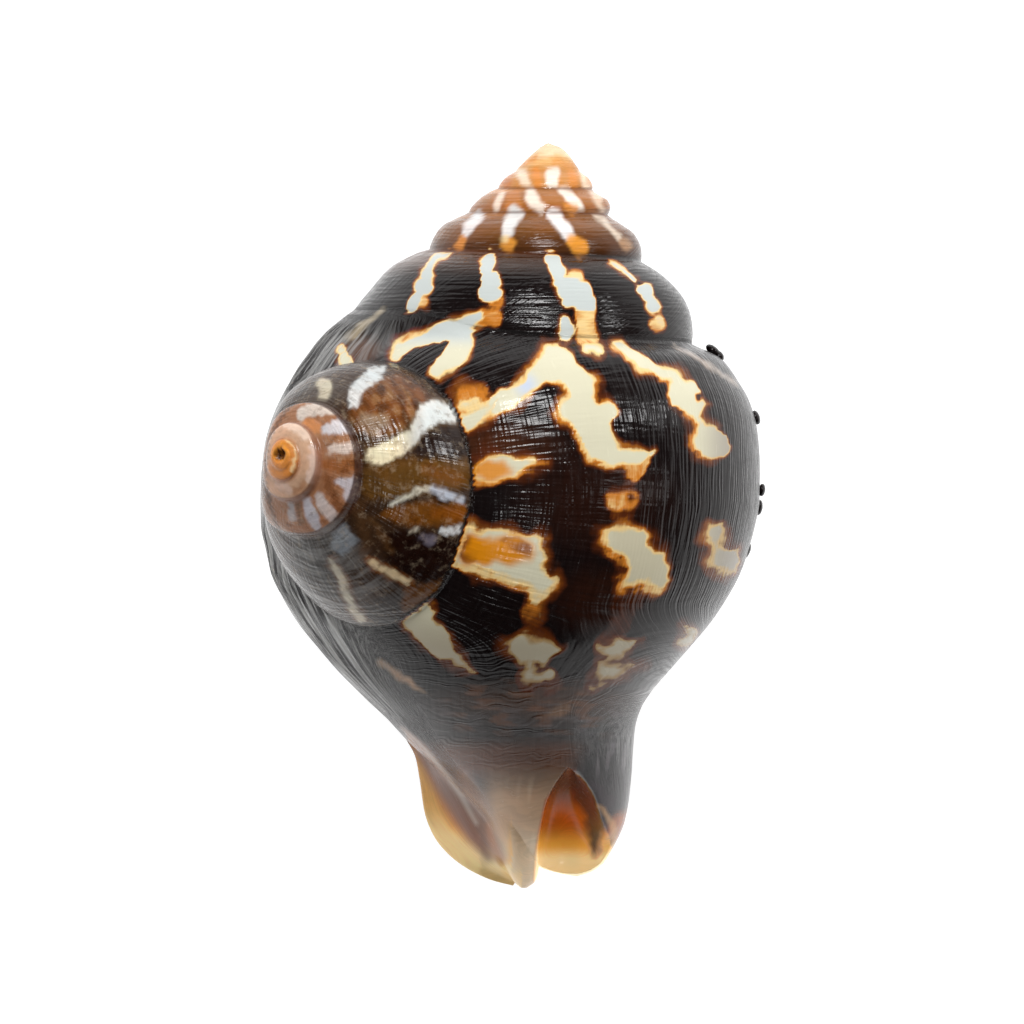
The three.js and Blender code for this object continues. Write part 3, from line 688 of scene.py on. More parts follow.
# growth angle about the main axis, and the whorl that each point lies on
ax = axis_u(gv)
psi = np.degrees(np.arctan2(gz - mid_z(gv), -(gu - ax))) % 360
cuts = np.stack([suture(k + psi / 360) for k in range(7)], -1)
whorl = (gv[:, None] >= cuts).sum(1) - 1
whorl = np.clip(whorl, 0, 6)
upper = np.take_along_axis(cuts, whorl[:, None], 1)[:, 0]
lower = np.where(whorl < 6, np.take_along_axis(cuts, np.minimum(whorl + 1, 6)[:, None], 1)[:, 0], END_ROW)
along = np.clip((gv - upper) / np.maximum(lower - upper, 1e-3), 0, 1)
seam = np.minimum(np.abs(gv - upper), np.where(whorl < 6, np.abs(gv - lower), 1e3))
seam = np.where(whorl < 2, 99, seam)

RING4 = [(285, 415), (303, 392), (321, 377), (346, 368), (366, 363), (384, 363), (398, 366), (417, 374),
         (431, 383), (445, 397), (457, 416), (467, 442), (472, 472), (471, 502), (462, 531), (452, 562),
         (439, 590), (415, 608), (401, 618), (380, 623), (361, 624), (347, 622), (329, 605), (304, 589),
         (292, 554), (276, 520), (266, 480), (270, 440)]
on_top = smooth(-0.05, 0.12, nor[:, 2])
rx, rz, ax, zc = body_radii(psi, gv, False)
rho = np.hypot((gu - ax) / np.maximum(rx, 1), (gz - zc) / np.maximum(rz, 1))
ring4 = polygon(RING4, gu, gv)
in_bud = smooth(-1.0, 1.0, ring4) * smooth(-60, -20, gz)
d3 = np.array([gu - 513, 490 - gv, gz]).T - BUD_TIP
bs = -(d3 @ BUD_NORMAL) / (BUD_AXIS @ BUD_NORMAL)
flat = d3 + bs[:, None] * BUD_AXIS
bud_rad = br = np.hypot(flat @ bud_side, flat @ bud_up)
bud_frac = (np.arctan2(flat @ bud_up, -(flat @ bud_side)) / (2 * np.pi)) % 1
is_bud = np.maximum(in_bud, smooth(1.004, 1.02, rho) * smooth(150, 135, br) * (gu < 400))

black = lin((20, 14, 14))
ground = np.tile(black, (n, 1))
pale = np.tile(lin((219, 214, 187)), (n, 1))
amberness = np.zeros(n)
vary = np.clip(1 + 0.55 * wobble(gu, gv, 61, 52), 0.45, 1.7)
flame = np.zeros(n)


def tint(mask, rgb, strength=1.0):
    global ground
    m = (np.clip(mask, 0, 1) * strength)[:, None]
    ground = ground * (1 - m) + lin(rgb) * m


def tint_pale(mask, rgb):
    global pale
    m = np.clip(mask, 0, 1)[:, None]
    pale = pale * (1 - m) + lin(rgb) * m


def light_up(sd, cap=1.0, soft=6.5, where=None):
    """A cream patch with an orange edge; cap under 0.6 leaves it orange."""
    global flame, amberness
    wide = soft * vary
    level = np.clip(0.5 + np.where(sd > 0, sd / (2 * wide), sd / (3.2 * wide)), 0, 1)
    level = np.minimum(level, cap)
    level = level * on_top
    if where is not None:
        level = level * where
    if cap < 0.6:
        amberness = np.maximum(amberness, smooth(-soft, 0, sd))
    flame = np.maximum(flame, level)


def amber(sd, level=0.42, soft=4.0):
    """Turns part of a cream patch orange."""
    global flame, amberness
    m = smooth(-soft, soft, sd)
    flame = flame * (1 - m) + np.minimum(flame, level) * m
    amberness = np.maximum(amberness, m)


def darken(sd, soft=3.0, strength=1.0):
    global flame
    flame = flame * (1 - strength * smooth(-soft, soft, sd))


def fringe(points, shift):
    """Orange shading along the left and lower edges of a patch."""
    light_up(polygon(points, wu + shift, wv - shift * 0.8), 0.45, 5.0)


# whorls of the main spire, lighter towards the apex
age = whorl + along + (psi - 90) / 360
spire = (whorl < 6).astype(float)
tint(spire * smooth(5.35, 4.75, age), (88, 52, 25))
tint(spire * smooth(4.75, 4.35, age), (122, 77, 36))
tint(spire * smooth(4.1, 3.9, age), (162, 108, 58))
tint(spire * smooth(3.1, 2.9, age), (204, 143, 80))
tint(spire * smooth(2.1, 1.7, age), (226, 176, 112))
tint(spire * smooth(158, 150, gv), (233, 208, 165))
tint(spire * smooth(4, 0, np.abs(gv - 207)) * smooth(420, 470, gu), (150, 84, 40), 0.5)
off_body = 1 - is_bud

# hidden sides: flames of the same kind, made up
turns_about = psi / 360
zig = 0.030 * np.sin(gv / 21.0) + 0.018 * np.sin(gv / 8.3 + 1) + 0.02 * wobble(gu + gz, gv, 9, 60)
wave = np.abs(((turns_about * 11 + zig * 11) % 1) - 0.5)
breaks = smooth(-0.2, 0.5, wobble(psi * 2.2, gv, 12, 60))
hidden = np.clip((wave - 0.36) / 0.1 + 0.1, 0, 1) * breaks * smooth(250, 270, gv) * smooth(720, 690, gv)
flame = np.maximum(flame, hidden * (1 - smooth(-0.25, 0.0, nor[:, 2])) * (1 - is_bud) * 0.95)

# --- upper whorls: soft marks
def spire_mark(points, rgb, strength=0.9, soft=2.6):
    tint(on_top * smooth(-soft, soft, stroke(points)), rgb, strength)


spire_mark([(536, 147, 3), (548, 146, 4), (556, 150, 4)], (236, 214, 178), 0.8)
spire_mark([(538, 155, 2.2), (556, 153, 2.5), (572, 157, 2)], (238, 216, 180), 0.85, 2)
spire_mark([(524, 162, 3), (534, 159, 3)], (220, 146, 74), 0.8)
spire_mark([(556, 163, 3), (572, 164, 3)], (222, 150, 78), 0.7)
spire_mark([(506, 182, 5), (510, 174, 4)], (196, 124, 74), 0.8)
spire_mark([(522, 171, 4.5), (524, 182, 4.5)], (240, 224, 200), 0.9)
spire_mark([(537, 174, 5), (537, 183, 5)], (222, 142, 66), 0.8)
spire_mark([(553, 173, 6), (553, 183, 6)], (244, 236, 222), 0.97, 2.2)
spire_mark([(569, 174, 5), (573, 183, 5)], (222, 142, 66), 0.8)
spire_mark([(582, 173, 3), (586, 184, 3)], (240, 224, 198), 0.85)
spire_mark([(503, 193, 3), (497, 202, 4), (496, 209, 4)], (234, 220, 204), 0.9)
spire_mark([(514, 197, 7), (514, 207, 7)], (190, 122, 60), 0.8)
spire_mark([(529, 191, 4), (533, 200, 5.5), (540, 209, 5)], (240, 230, 216), 0.95)
spire_mark([(562, 190, 4), (571, 199, 5.5), (579, 208, 5)], (242, 234, 222), 0.95)
spire_mark([(566, 206, 4), (574, 210, 4)], (222, 150, 72), 0.8)
spire_mark([(592, 191, 3), (599, 202, 3.5), (603, 210, 3)], (230, 206, 180), 0.85)
spire_mark([(480, 216, 4), (471, 225, 5), (466, 233, 4.5)], (226, 228, 230), 0.95)
spire_mark([(463, 240, 5), (460, 247, 5)], (214, 140, 58), 0.9)
spire_mark([(516, 214, 7), (509, 225, 6.5), (508, 232, 6)], (228, 228, 226), 0.97)
spire_mark([(509, 246, 8)], (226, 152, 62), 0.92)
spire_mark([(505, 239, 4)], (238, 206, 150), 0.9)
spire_mark([(554, 215, 6.5), (562, 226, 7.5), (568, 235, 7)], (232, 232, 232), 0.97)
spire_mark([(574, 243, 8), (580, 250, 8)], (228, 154, 58), 0.95)
spire_mark([(596, 217, 2.5), (608, 227, 3), (618, 237, 3)], (226, 208, 186), 0.85)
spire_mark([(622, 242, 3), (630, 247, 3)], (190, 150, 110), 0.7)
# --- fourth whorl, beaded zigzags
light_up(stroke([(450, 252, 1.5), (434, 260, 2.5), (430, 267, 4)]), 0.9, 3)
light_up(stroke([(428, 274, 7)]), 1.0, 3)
light_up(stroke([(424, 288, 8.5)]), 1.0, 3)
light_up(stroke([(415, 300, 7), (413, 307, 6)]), 1.0, 3)
light_up(stroke([(427, 281, 5), (420, 295, 5)]), 0.85, 3)
light_up(stroke([(424, 304, 5)]), 0.48, 4)
light_up(stroke([(490, 253, 5), (489, 262, 8.5)]), 1.0, 3)
light_up(stroke([(486, 271, 6)]), 1.0, 3)
light_up(stroke([(489, 281, 9), (494, 281, 8.5)]), 1.0, 3)
light_up(stroke([(488, 294, 9.5), (493, 294, 9)]), 1.0, 3)
light_up(stroke([(497, 304, 6)]), 0.5, 3.5)
light_up(stroke([(482, 319, 8), (493, 319, 8)]), 0.52, 4)
light_up(stroke([(478, 317, 5), (469, 323, 7), (460, 331, 7)]), 1.0, 3.5)
light_up(stroke([(551, 256, 7), (554, 263, 6.5), (558, 272, 7)]), 1.0, 3)
light_up(stroke([(572, 278, 5.5), (577, 277, 5)]), 0.5, 3)
light_up(stroke([(566, 290, 9), (584, 292, 9), (560, 283, 7)]), 1.0, 3)
light_up(stroke([(568, 301, 7.5), (588, 304, 8)]), 1.0, 3)
darken(stroke([(565, 312, 3), (573, 313, 2)]), 2.5)
light_up(stroke([(563, 322, 6), (566, 334, 8)]), 1.0, 3)
light_up(stroke([(585, 314, 9), (586, 325, 9), (586, 337, 9)]), 0.5, 3.5)
light_up(stroke([(609, 264, 1.5), (622, 270, 2), (634, 279, 2.5)]), 0.85, 3)
light_up(stroke([(642, 290, 5), (646, 293, 5.5)]), 1.0, 3)
light_up(stroke([(651, 304, 5.5), (656, 308, 5)]), 1.0, 3)
light_up(stroke([(644, 297, 3), (650, 301, 3)]), 0.9, 3)
light_up(stroke([(657, 326, 6)]), 0.48, 4)

# --- hook on the body
light_up(stroke([(396, 355, 5), (403, 346, 7.5), (416, 341, 7.5), (430, 338, 7), (444, 332, 8.5), (458, 330, 11),
                 (463, 341, 11), (459, 352, 11), (449, 361, 9), (436, 371, 6.5)]), 1.0, 4)
amber(stroke([(402, 343, 3), (414, 336, 4), (426, 332, 3)]), 0.44, 3)

darken(stroke([(404, 359, 3), (420, 353, 5), (438, 350, 6.5)]), 3)
light_up(stroke([(343, 352, 6), (346, 362, 6)]), 0.95, 5)
tint(on_top * smooth(-3, 2, stroke([(384, 310, 2), (366, 324, 3), (350, 338, 3)])), (188, 176, 150), 0.7)
tint(smooth(-8, 8, ellipse(362, 352, 16, 14)), (88, 50, 22), 0.7)

# --- the big flame
BIG = [(545, 345), (541, 355), (535, 365), (528, 375), (520, 385), (505, 392), (490, 400), (478, 405), (464, 403),
       (460, 418), (466, 430), (475, 425), (490, 417), (505, 411), (515, 405), (528, 392), (540, 385), (545, 380),
       (555, 380), (565, 385), (572, 392), (570, 398), (560, 402), (557, 412), (562, 420), (575, 425), (580, 432),
       (583, 445), (590, 458), (600, 463), (625, 465), (640, 464), (652, 452), (630, 452), (617, 448), (610, 438),
       (610, 425), (618, 412), (612, 405), (598, 402), (592, 398), (594, 385), (590, 377), (577, 368), (570, 355),
       (558, 345)]
light_up(polygon(BIG) + 1.0, 1.0, 5.5)
fringe(BIG, 3.0)
amber(stroke([(462, 412, 9), (478, 408, 6), (488, 404, 3)]), 0.46, 4)
amber(stroke([(500, 399, 2), (486, 415, 4)]), 0.5, 3)
light_up(stroke([(466, 395, 6), (484, 394, 4)]), 0.3, 8)
light_up(stroke([(641, 464, 7), (634, 474, 6)]), 0.45, 5)
light_up(stroke([(612, 500, 5), (630, 499, 6)]), 0.42, 6)
light_up(stroke([(620, 514, 5), (624, 508, 5)]), 0.2, 6)
light_up(stroke([(588, 349, 5), (597, 351, 5)]), 0.8, 5)
RIGHT = [(613, 345), (630, 360), (645, 370), (660, 378), (670, 383), (668, 395), (672, 405), (682, 412), (692, 418),
         (696, 425), (693, 435), (692, 445), (700, 455), (712, 458), (722, 457), (729, 450), (727, 440), (718, 430),
         (705, 423), (700, 415), (703, 405), (697, 388), (688, 380), (675, 372), (655, 365), (640, 355), (622, 344)]
light_up(polygon(RIGHT) + 1.0, 1.0, 5)
fringe(RIGHT, 2.5)
darken(stroke([(698, 398, 3.5)]), 3, 0.8)
tint(on_top * smooth(-2.5, 2, stroke([(672, 346, 1.2), (700, 360, 2), (735, 385, 1.2)])), (196, 184, 172), 0.7)
# --- patches by the second spire
UP = [(474, 460), (484, 456), (500, 456), (520, 457), (535, 458), (546, 463), (535, 468), (520, 476), (500, 481),
      (480, 483), (472, 482)]
light_up(polygon(UP) - 0.5, 1.0, 7.5)
fringe(UP, 3)
amber(stroke([(520, 473, 3), (545, 462, 4)]), 0.5, 4)
LOW = [(466, 524), (480, 529), (500, 528), (520, 533), (545, 537), (541, 548), (548, 560), (545, 568), (561, 582),
       (548, 592), (535, 590), (520, 585), (500, 577), (470, 567), (453, 563)]
light_up(polygon(LOW) - 1.5, 1.0, 9)
fringe(LOW, 3)
orange = np.maximum.reduce([smooth(-6, 4, ellipse(478, 550, 19, 15)), smooth(-6, 4, ellipse(511, 550, 20, 14)),
                            smooth(-6, 4, ellipse(495, 551, 30, 9)), 0.9 * smooth(-5, 3, ellipse(488, 471, 21, 9))])
amber(stroke([(458, 565, 5), (500, 574, 4), (530, 586, 4)]), 0.5, 4)
darken(stroke([(556, 548, 5), (552, 572, 3)]), 4, 0.6)
light_up(stroke([(541, 590, 6), (536, 598, 4)]), 0.5, 6)
light_up(stroke([(530, 609, 7)]), 0.3, 8)
A1 = [(604, 530), (625, 527), (645, 528), (651, 536), (650, 546), (664, 552), (668, 566), (669, 580), (663, 591),
      (655, 590), (645, 583), (637, 590), (622, 589), (619, 578), (624, 567), (620, 558), (606, 548)]
light_up(polygon(A1) - 2.0, 1.0, 9)
fringe(A1, 3)
light_up(stroke([(628, 598, 3), (624, 625, 3)]), 0.25, 8)
darken(stroke([(611, 572, 4), (604, 560, 3)]), 4, 0.7)
amber(stroke([(606, 552, 4), (612, 566, 3)]), 0.48, 4)
A2 = [(706, 524), (722, 522), (725, 535), (722, 545), (738, 548), (742, 560), (736, 572), (716, 572), (708, 560),
      (712, 548), (704, 540)]
light_up(polygon(A2) - 2.0, 0.9, 9)
# --- lower body
WEDGE = [(402, 620), (412, 612), (425, 602), (432, 605), (432, 618), (445, 630), (455, 645), (465, 660), (475, 673),
         (460, 668), (440, 658), (425, 648), (412, 635)]
light_up(polygon(WEDGE) + 0.5, 1.0, 5)
B1 = [(505, 642), (520, 635), (543, 641), (560, 648), (547, 660), (535, 665), (520, 660), (510, 652)]
light_up(polygon(B1) + 0.5, 0.95, 8)
light_up(stroke([(530, 676, 7), (547, 675, 7)]), 0.9, 8)
light_up(stroke([(530, 664, 4), (532, 672, 4)]), 0.7, 8)
B2 = [(598, 645), (615, 640), (640, 640), (627, 650), (622, 658), (605, 661)]
light_up(polygon(B2) + 0.5, 0.95, 8)
light_up(polygon([(600, 662), (612, 661), (640, 663), (622, 675), (600, 681), (596, 672)]) + 0.5, 0.95, 8)
light_up(stroke([(592, 687, 3), (603, 684, 3)]), 0.6, 5)
light_up(stroke([(683, 625, 3), (690, 634, 5), (684, 642, 4)]), 0.75, 5)
tint(on_top * smooth(-3.5, 2.5, stroke([(380, 661, 1.5), (402, 677, 2.6), (416, 686, 1.4), (434, 697, -2.5)])), (190, 158, 126), 0.75)
tint(on_top * smooth(-4, 3, stroke([(545, 717, 2), (556, 712, 4), (568, 707, 3)])), (172, 132, 98), 0.8)
# streaks of dark along the growth lines cut into the patches
cut = smooth(0.25, 0.8, wobble(gu * 0.35, gv, 31, 12)) * smooth(0.95, 0.6, flame) * (gv > 345)
flame = flame * (1 - 0.25 * cut)
flame = flame * (1 - is_bud)

tint_pale(smooth(352, 335, gv), (198, 204, 201))
tint_pale(smooth(590, 620, gu) * smooth(500, 530, gv), (203, 195, 168))
tint_pale(smooth(600, 650, gv), (190, 180, 156))
# the pale marks turn grey towards the right flank: painted sheen of the surface turning away
tint_pale(smooth(690, 730, gu) * smooth(300, 320, gv), (172, 164, 150))
# bluish where the key light's highlight falls: painted reflection
tint_pale(smooth(18, 0, np.hypot(gu - 526, gv - 386)), (198, 208, 226))

# brown glow and warm tones of the body
tint(smooth(-22, 18, ellipse(493, 447, 40, 16)) * off_body, (92, 50, 26), 0.55)
tint(smooth(-16, 14, ellipse(540, 702, 66, 14)) * off_body, (86, 50, 20), 0.6)
tint(smooth(-16, 14, ellipse(600, 600, 40, 30)) * off_body, (50, 24, 12), 0.5)
tint(smooth(-30, 20, ellipse(592, 500, 60, 40)) * off_body, (44, 20, 10), 0.5)

grain = smooth(0.1, 0.8, wobble(gu * 0.28, gv, 41, 9))
tint(grain * smooth(672, 700, gv) * smooth(748, 720, gv) * smooth(430, 480, gu) * smooth(625, 570, gu), (112, 68, 34), 0.75)
# grey streaks across the neck and down its right side: painted sheen
tint(smooth(0.2, 0.9, wobble(gu * 0.22, gv, 43, 8)) * smooth(690, 715, gv) * smooth(765, 740, gv) * (gu > 410), (110, 104, 108), 0.35)
tint(smooth(0.3, 0.9, wobble(gu, gv * 0.3, 44, 10)) * smooth(715, 745, gv) * smooth(800, 775, gv) * smooth(575, 600, gu), (120, 116, 122), 0.4)

# --- second spire
tint(smooth(0.2, 0.8, is_bud), (72, 50, 34))
top = smooth(0.2, 0.8, is_bud) * on_top
late = smooth(0.86, 1.0, bud_frac)
w3 = top * smooth(0.8, -0.8, bud_rad - bud_r(4 + bud_frac)) * (1 - late * (bud_rad > bud_r(3 + bud_frac)))
w2 = top * smooth(0.7, -0.7, bud_rad - bud_r(3 + bud_frac)) * (1 - late * (bud_rad > bud_r(2 + bud_frac)))
w1 = top * smooth(0.7, -0.7, bud_rad - bud_r(2 + bud_frac)) * (1 - late * (bud_rad > bud_r(1 + bud_frac)))
bars = np.abs((bud_frac * 13 + 0.35 * wobble(gu + gz, gv, 28, 20)) % 1 - 0.5)
tint(smooth(0.34, 0.46, bars) * smooth(0.2, 0.8, is_bud) * (1 - on_top) * (bud_rad > 30), (158, 138, 112), 0.7)
bu = gu + 1.1 * wobble(gu, gv, 21, 17) + 0.9 * wobble(gu, gv, 22, 8)
bv = gv + 1.1 * wobble(gu, gv, 23, 17) + 0.9 * wobble(gu, gv, 24, 8)


def bud_mark(points, rgb, strength=0.9, soft=2.4, mask=None):
    """A stroke (u, v, r) or, with pairs only, a filled outline."""
    sd = stroke(points, bu, bv) if len(points[0]) == 3 else polygon(points, bu, bv)
    tint((top if mask is None else mask) * smooth(-soft, soft, sd), rgb, strength)


speck = wobble(gu, gv, 51, 13)
bud_mark([(357, 392), (372, 378), (398, 374), (420, 386), (432, 402), (422, 416), (408, 424), (396, 434), (376, 438),
          (358, 430), (350, 412)], (142, 86, 40), 0.95, 5)
tint(top * smooth(0.1, 0.7, speck) * smooth(-5, 5, ellipse(392, 402, 40, 32)), (92, 56, 30), 0.7)
tint(top * smooth(-0.1, -0.7, speck) * smooth(-5, 5, ellipse(385, 410, 36, 26)), (186, 138, 88), 0.6)
bud_mark([(366, 466), (400, 460), (440, 456), (470, 460), (474, 488), (440, 490), (400, 498), (370, 500), (360, 486)],
         (128, 88, 36), 0.9, 5)
bud_mark([(426, 470, 6), (446, 474, 8), (460, 478, 6)], (150, 92, 34), 0.6, 4)
bud_mark([(372, 470, 6), (378, 488, 6)], (104, 74, 40), 0.6, 4)
bud_mark([(366, 421, 7), (384, 422, 6), (372, 432, 5)], (176, 152, 124), 0.8, 3.5)
bud_mark([(372, 446, 5), (392, 440, 4)], (112, 84, 52), 0.7, 4)
bud_mark([(392, 507), (430, 502), (466, 505), (469, 524), (436, 526), (404, 525), (380, 516)], (146, 88, 26), 0.9, 4)
bud_mark([(436, 514, 5), (462, 512, 7)], (176, 98, 24), 0.7, 4)
bud_mark([(382, 532), (420, 530), (462, 542), (454, 566), (436, 590), (410, 582), (388, 560)], (40, 20, 14), 0.95, 4)
bud_mark([(424, 432), (462, 428), (470, 450), (456, 460), (420, 458), (408, 450)], (50, 36, 32), 0.9, 3.5)
bud_mark([(404, 586), (430, 582), (452, 578), (440, 594), (424, 606), (402, 616)], (132, 78, 22), 0.95, 3.5)
bud_mark([(384, 594), (402, 592), (404, 616), (380, 624), (366, 612)], (50, 36, 30), 0.85, 4)
bud_mark([(374, 520, 3), (384, 536, 3), (392, 552, 2)], (120, 84, 48), 0.7, 3)
bud_mark([(360, 506, 6), (366, 530, 6), (366, 556, 5)], (104, 72, 44), 0.75, 4)
tint(top * smooth(-12, 10, ellipse(316, 566, 24, 40)), (64, 60, 57), 0.7)
tint(top * smooth(-10, 8, ellipse(322, 392, 30, 16)), (104, 92, 82), 0.75)
for k in range(9):
    q = k / 8
    bud_mark([(283 + 30 * q, 512 + 30 * q, 0.8), (296 + 26 * q, 545 + 26 * q, 2.0 - 0.8 * q),
              (322 + 18 * q, 582 + 18 * q, 1.6), (348 + 10 * q, 606 + 10 * q, 0.8)],
             (132, 129, 125) if k % 2 else (42, 38, 36), 0.75, 1.8)
bud_mark([(333, 532), (345, 523), (360, 540), (352, 551), (343, 556), (331, 548)], (158, 166, 174), 0.9, 2.2)
bud_mark([(322, 384, 5), (328, 386, 6), (325, 396, 5)], (206, 198, 174), 0.9, 2.6)
bud_mark([(358, 380), (371, 368), (388, 365), (383, 378), (371, 387), (363, 396), (358, 410), (350, 407), (348, 394),
          (353, 386)], (206, 212, 212), 0.95, 2.2)
cream = polygon([(419, 407), (432, 401), (443, 402), (460, 413), (459, 422), (440, 424), (428, 430), (419, 441),
                 (407, 452), (391, 463), (374, 466), (367, 459), (370, 449), (385, 443), (400, 436), (411, 430),
                 (416, 419)], bu, bv)
tint(top * smooth(-4.5, 0, cream), (128, 98, 60), 0.7)
tint(top * smooth(-2.2, 2.2, cream) * smooth(430, 395, gu), (232, 226, 192), 0.97)
tint(top * smooth(-2.2, 2.2, cream) * smooth(395, 430, gu), (220, 226, 224), 0.97)
bud_mark([(392, 505, 2.2), (406, 497, 2.4), (420, 490, 3.2), (432, 487, 2.6)], (206, 202, 184), 0.9, 1.8)
bud_mark([(434, 489, 4), (447, 495, 4.4), (461, 500, 3)], (188, 198, 212), 0.9, 2)
bud_mark([(412, 530, 2.5), (418, 527, 2)], (214, 206, 186), 0.8, 2)
bud_mark([(424, 538, 4), (432, 540, 5)], (150, 142, 158), 0.85, 2.4)
bud_mark([(444, 531, 4), (466, 530, 6)], (214, 220, 222), 0.95, 2.2)
bud_mark([(370, 561, 5.5), (384, 569, 6.5), (400, 577, 6.5), (411, 584, 5.5)], (150, 86, 32), 0.85, 2.2)
bud_mark([(372, 562, 2.5), (384, 569, 3.6), (400, 577, 3.6), (409, 582, 2.6)], (228, 206, 164), 0.95, 1.8)
bud_mark([(333, 561, 5.5), (343, 579, 6.5), (348, 596, 6.5), (355, 610, 7), (364, 622, 6.5)], (130, 84, 50), 0.85, 2.4)
bud_mark([(333, 562, 3), (343, 579, 4), (348, 596, 3.8), (355, 610, 4.5), (363, 620, 4)], (206, 198, 176), 0.95, 1.8)
bud_mark([(384, 376, 2), (398, 372, 2.5), (412, 376, 2)], (84, 54, 32), 0.6, 2.5)
# its third whorl
tint(w3, (158, 112, 80), 0.95)


def ring_mark(points, rgb, strength=0.9, soft=2.2):
    bud_mark(points, rgb, strength, soft, w3)


ring_mark([(304, 414, 6), (320, 408, 7), (334, 410, 6)], (214, 206, 196))
ring_mark([(308, 425, 6), (318, 428, 6)], (206, 142, 92))
ring_mark([(326, 431, 4), (340, 427, 7), (354, 429, 6)], (214, 216, 222))
ring_mark([(330, 441, 3), (352, 441, 3)], (168, 120, 84), 0.8)
# a pinkish white streak at three o'clock on its third whorl: painted highlight
ring_mark([(333, 450, 4), (350, 448, 5), (364, 446, 3)], (228, 212, 200), 0.85)
ring_mark([(323, 464, 5), (340, 467, 7), (360, 464, 6)], (150, 92, 50))
ring_mark([(340, 482, 3), (354, 486, 9), (352, 496, 7)], (196, 194, 202))
ring_mark([(328, 478, 4), (334, 494, 4), (342, 508, 4)], (122, 78, 48))
ring_mark([(320, 497, 4), (328, 510, 6), (334, 516, 6)], (196, 188, 186))
ring_mark([(308, 500, 4), (313, 515, 6), (318, 526, 4)], (184, 186, 196))
ring_mark([(300, 505, 3), (303, 522, 4)], (124, 92, 70))
ring_mark([(292, 504, 3), (294, 518, 4)], (170, 166, 168))
# its second whorl and nucleus
tint(w2, (208, 168, 138), 0.95)
bud_mark([(286, 424, 4), (298, 428, 5), (308, 436, 5)], (232, 208, 188), 0.85, 2.4, w2)
bud_mark([(314, 448, 4), (316, 466, 5), (312, 480, 4)], (226, 200, 184), 0.85, 2.4, w2)
bud_mark([(306, 484, 3), (298, 492, 4)], (176, 122, 84), 0.7, 2.4, w2)
bud_mark([(290, 490, 4), (280, 484, 4)], (216, 184, 166), 0.8, 2.4, w2)
tint(w1, (222, 140, 62), 0.95)
bud_mark([(286, 438, 1.2), (296, 446, 2), (299, 457, 2.2), (294, 470, 1.4)], (244, 212, 160), 0.85, 1.5, w1)
tint(w1 * smooth(-4, 4, ellipse(281, 452, 9, 9)), (232, 152, 52), 0.8)
# the pit at its apex is painted near black: painted shade inside the hole
pit = 6.0 - np.hypot(gu - 281.5, gv - 454.5)
tint(smooth(-1.0, 1.6, pit) * top, (40, 16, 8))
# fine dark lines at its junctions, serrated
teeth = 0.9 * np.sin(np.arctan2(gv - 493, gu - 372) * 110)
line4 = smooth(2.6, 0.8, np.abs(ring4 + teeth)) * smooth(-60, -20, gz) * on_top
tint(line4 * smooth(330, 380, gu), (24, 14, 10), 0.85)
tint(line4 * smooth(380, 330, gu), (60, 44, 36), 0.5)
for k, tone, width, strong in ((4, (60, 32, 20), 1.6, 0.85), (3, (120, 70, 46), 1.4, 0.7), (2, (150, 84, 40), 1.2, 0.6)):
    tint(top * smooth(width + 0.8, width - 0.6, np.abs(bud_rad - bud_r(k + bud_frac))), tone, strong)
flame = flame * (1 - 0.9 * line4)

# the second spire is darker where it carries no pale mark
shade_down = (1 - 0.42 * smooth(0.2, 0.8, is_bud) * (1 - w3) * smooth(0.55, 0.25, ground.mean(1)))[:, None]
ground = ground * shade_down

# --- sutures of the main spire, darkened: painted shade in the creases between the whorls
groove = smooth(2.4, 0.3, seam) * spire
tint(groove * smooth(4.9, 5.1, age), (12, 8, 8), 0.8)
tint(groove * smooth(5.1, 4.9, age), (96, 50, 26), 0.6)
flame = flame * (1 - 0.7 * groove)

# --- siphonal end
neck = smooth(735, 775, gv)
right_of = gu - (590 - 0.38 * (gv - 715))
tint(smooth(690, 760, gv) * smooth(20, -20, right_of), (36, 22, 17), 0.75)
tint(smooth(736, 752, gv) * smooth(786, 764, gv) * smooth(-14, 14, gu - 425) * smooth(16, -16, right_of), (96, 54, 28), 0.8)
tint(smooth(756, 806, gv) * smooth(474, 500, gu) * smooth(10, -10, right_of), (172, 136, 98))
tint(smooth(0.1, 0.8, wobble(gu, gv * 0.15, 45, 12)) * smooth(770, 800, gv) * smooth(500, 512, gu) * smooth(552, 540, gu),
     (206, 182, 150), 0.6)
tint(smooth(815, 872, gv) * smooth(490, 508, gu) * smooth(560, 535, gu), (222, 200, 162))
inside = polygon([(404, 728), (414, 737), (429, 751), (442, 770), (456, 790), (468, 812), (478, 834), (489, 854),
                  (503, 870), (500, 884), (470, 872), (436, 842), (418, 800), (412, 757)], gu, gv)
tint(smooth(-3, 5, inside) * smooth(725, 745, gv), (206, 132, 54))
rim_line = polygon([(398, 726), (421, 781), (427, 812), (438, 836), (455, 854), (476, 869), (500, 881), (530, 880),
                    (530, 700)], gu, gv)
wide = np.interp(gv, [730, 780, 810, 850], [5, 8, 14, 22])
tint(smooth(-5, 5, wide - np.abs(rim_line)) * (gu < 512) * neck, (232, 178, 88), 0.85)
tint(smooth(-5, 5, 0.7 * wide - np.abs(rim_line)) * (gu < 512) * smooth(800, 842, gv), (246, 222, 160), 0.9)
tint(smooth(-8, 6, stroke([(414, 742, 3), (432, 768, 7), (448, 792, 9), (462, 816, 9), (474, 838, 7), (488, 858, 4)], gu, gv)),
     (98, 66, 60), 0.85)
tint(smooth(-8, 6, stroke([(462, 776, 5), (478, 806, 9), (488, 836, 7), (500, 858, 4)], gu, gv)), (140, 106, 88), 0.85)
tint(smooth(-4, 4, stroke([(488, 826, 2), (494, 846, 4), (502, 864, 3)], gu, gv)), (172, 112, 64), 0.7)
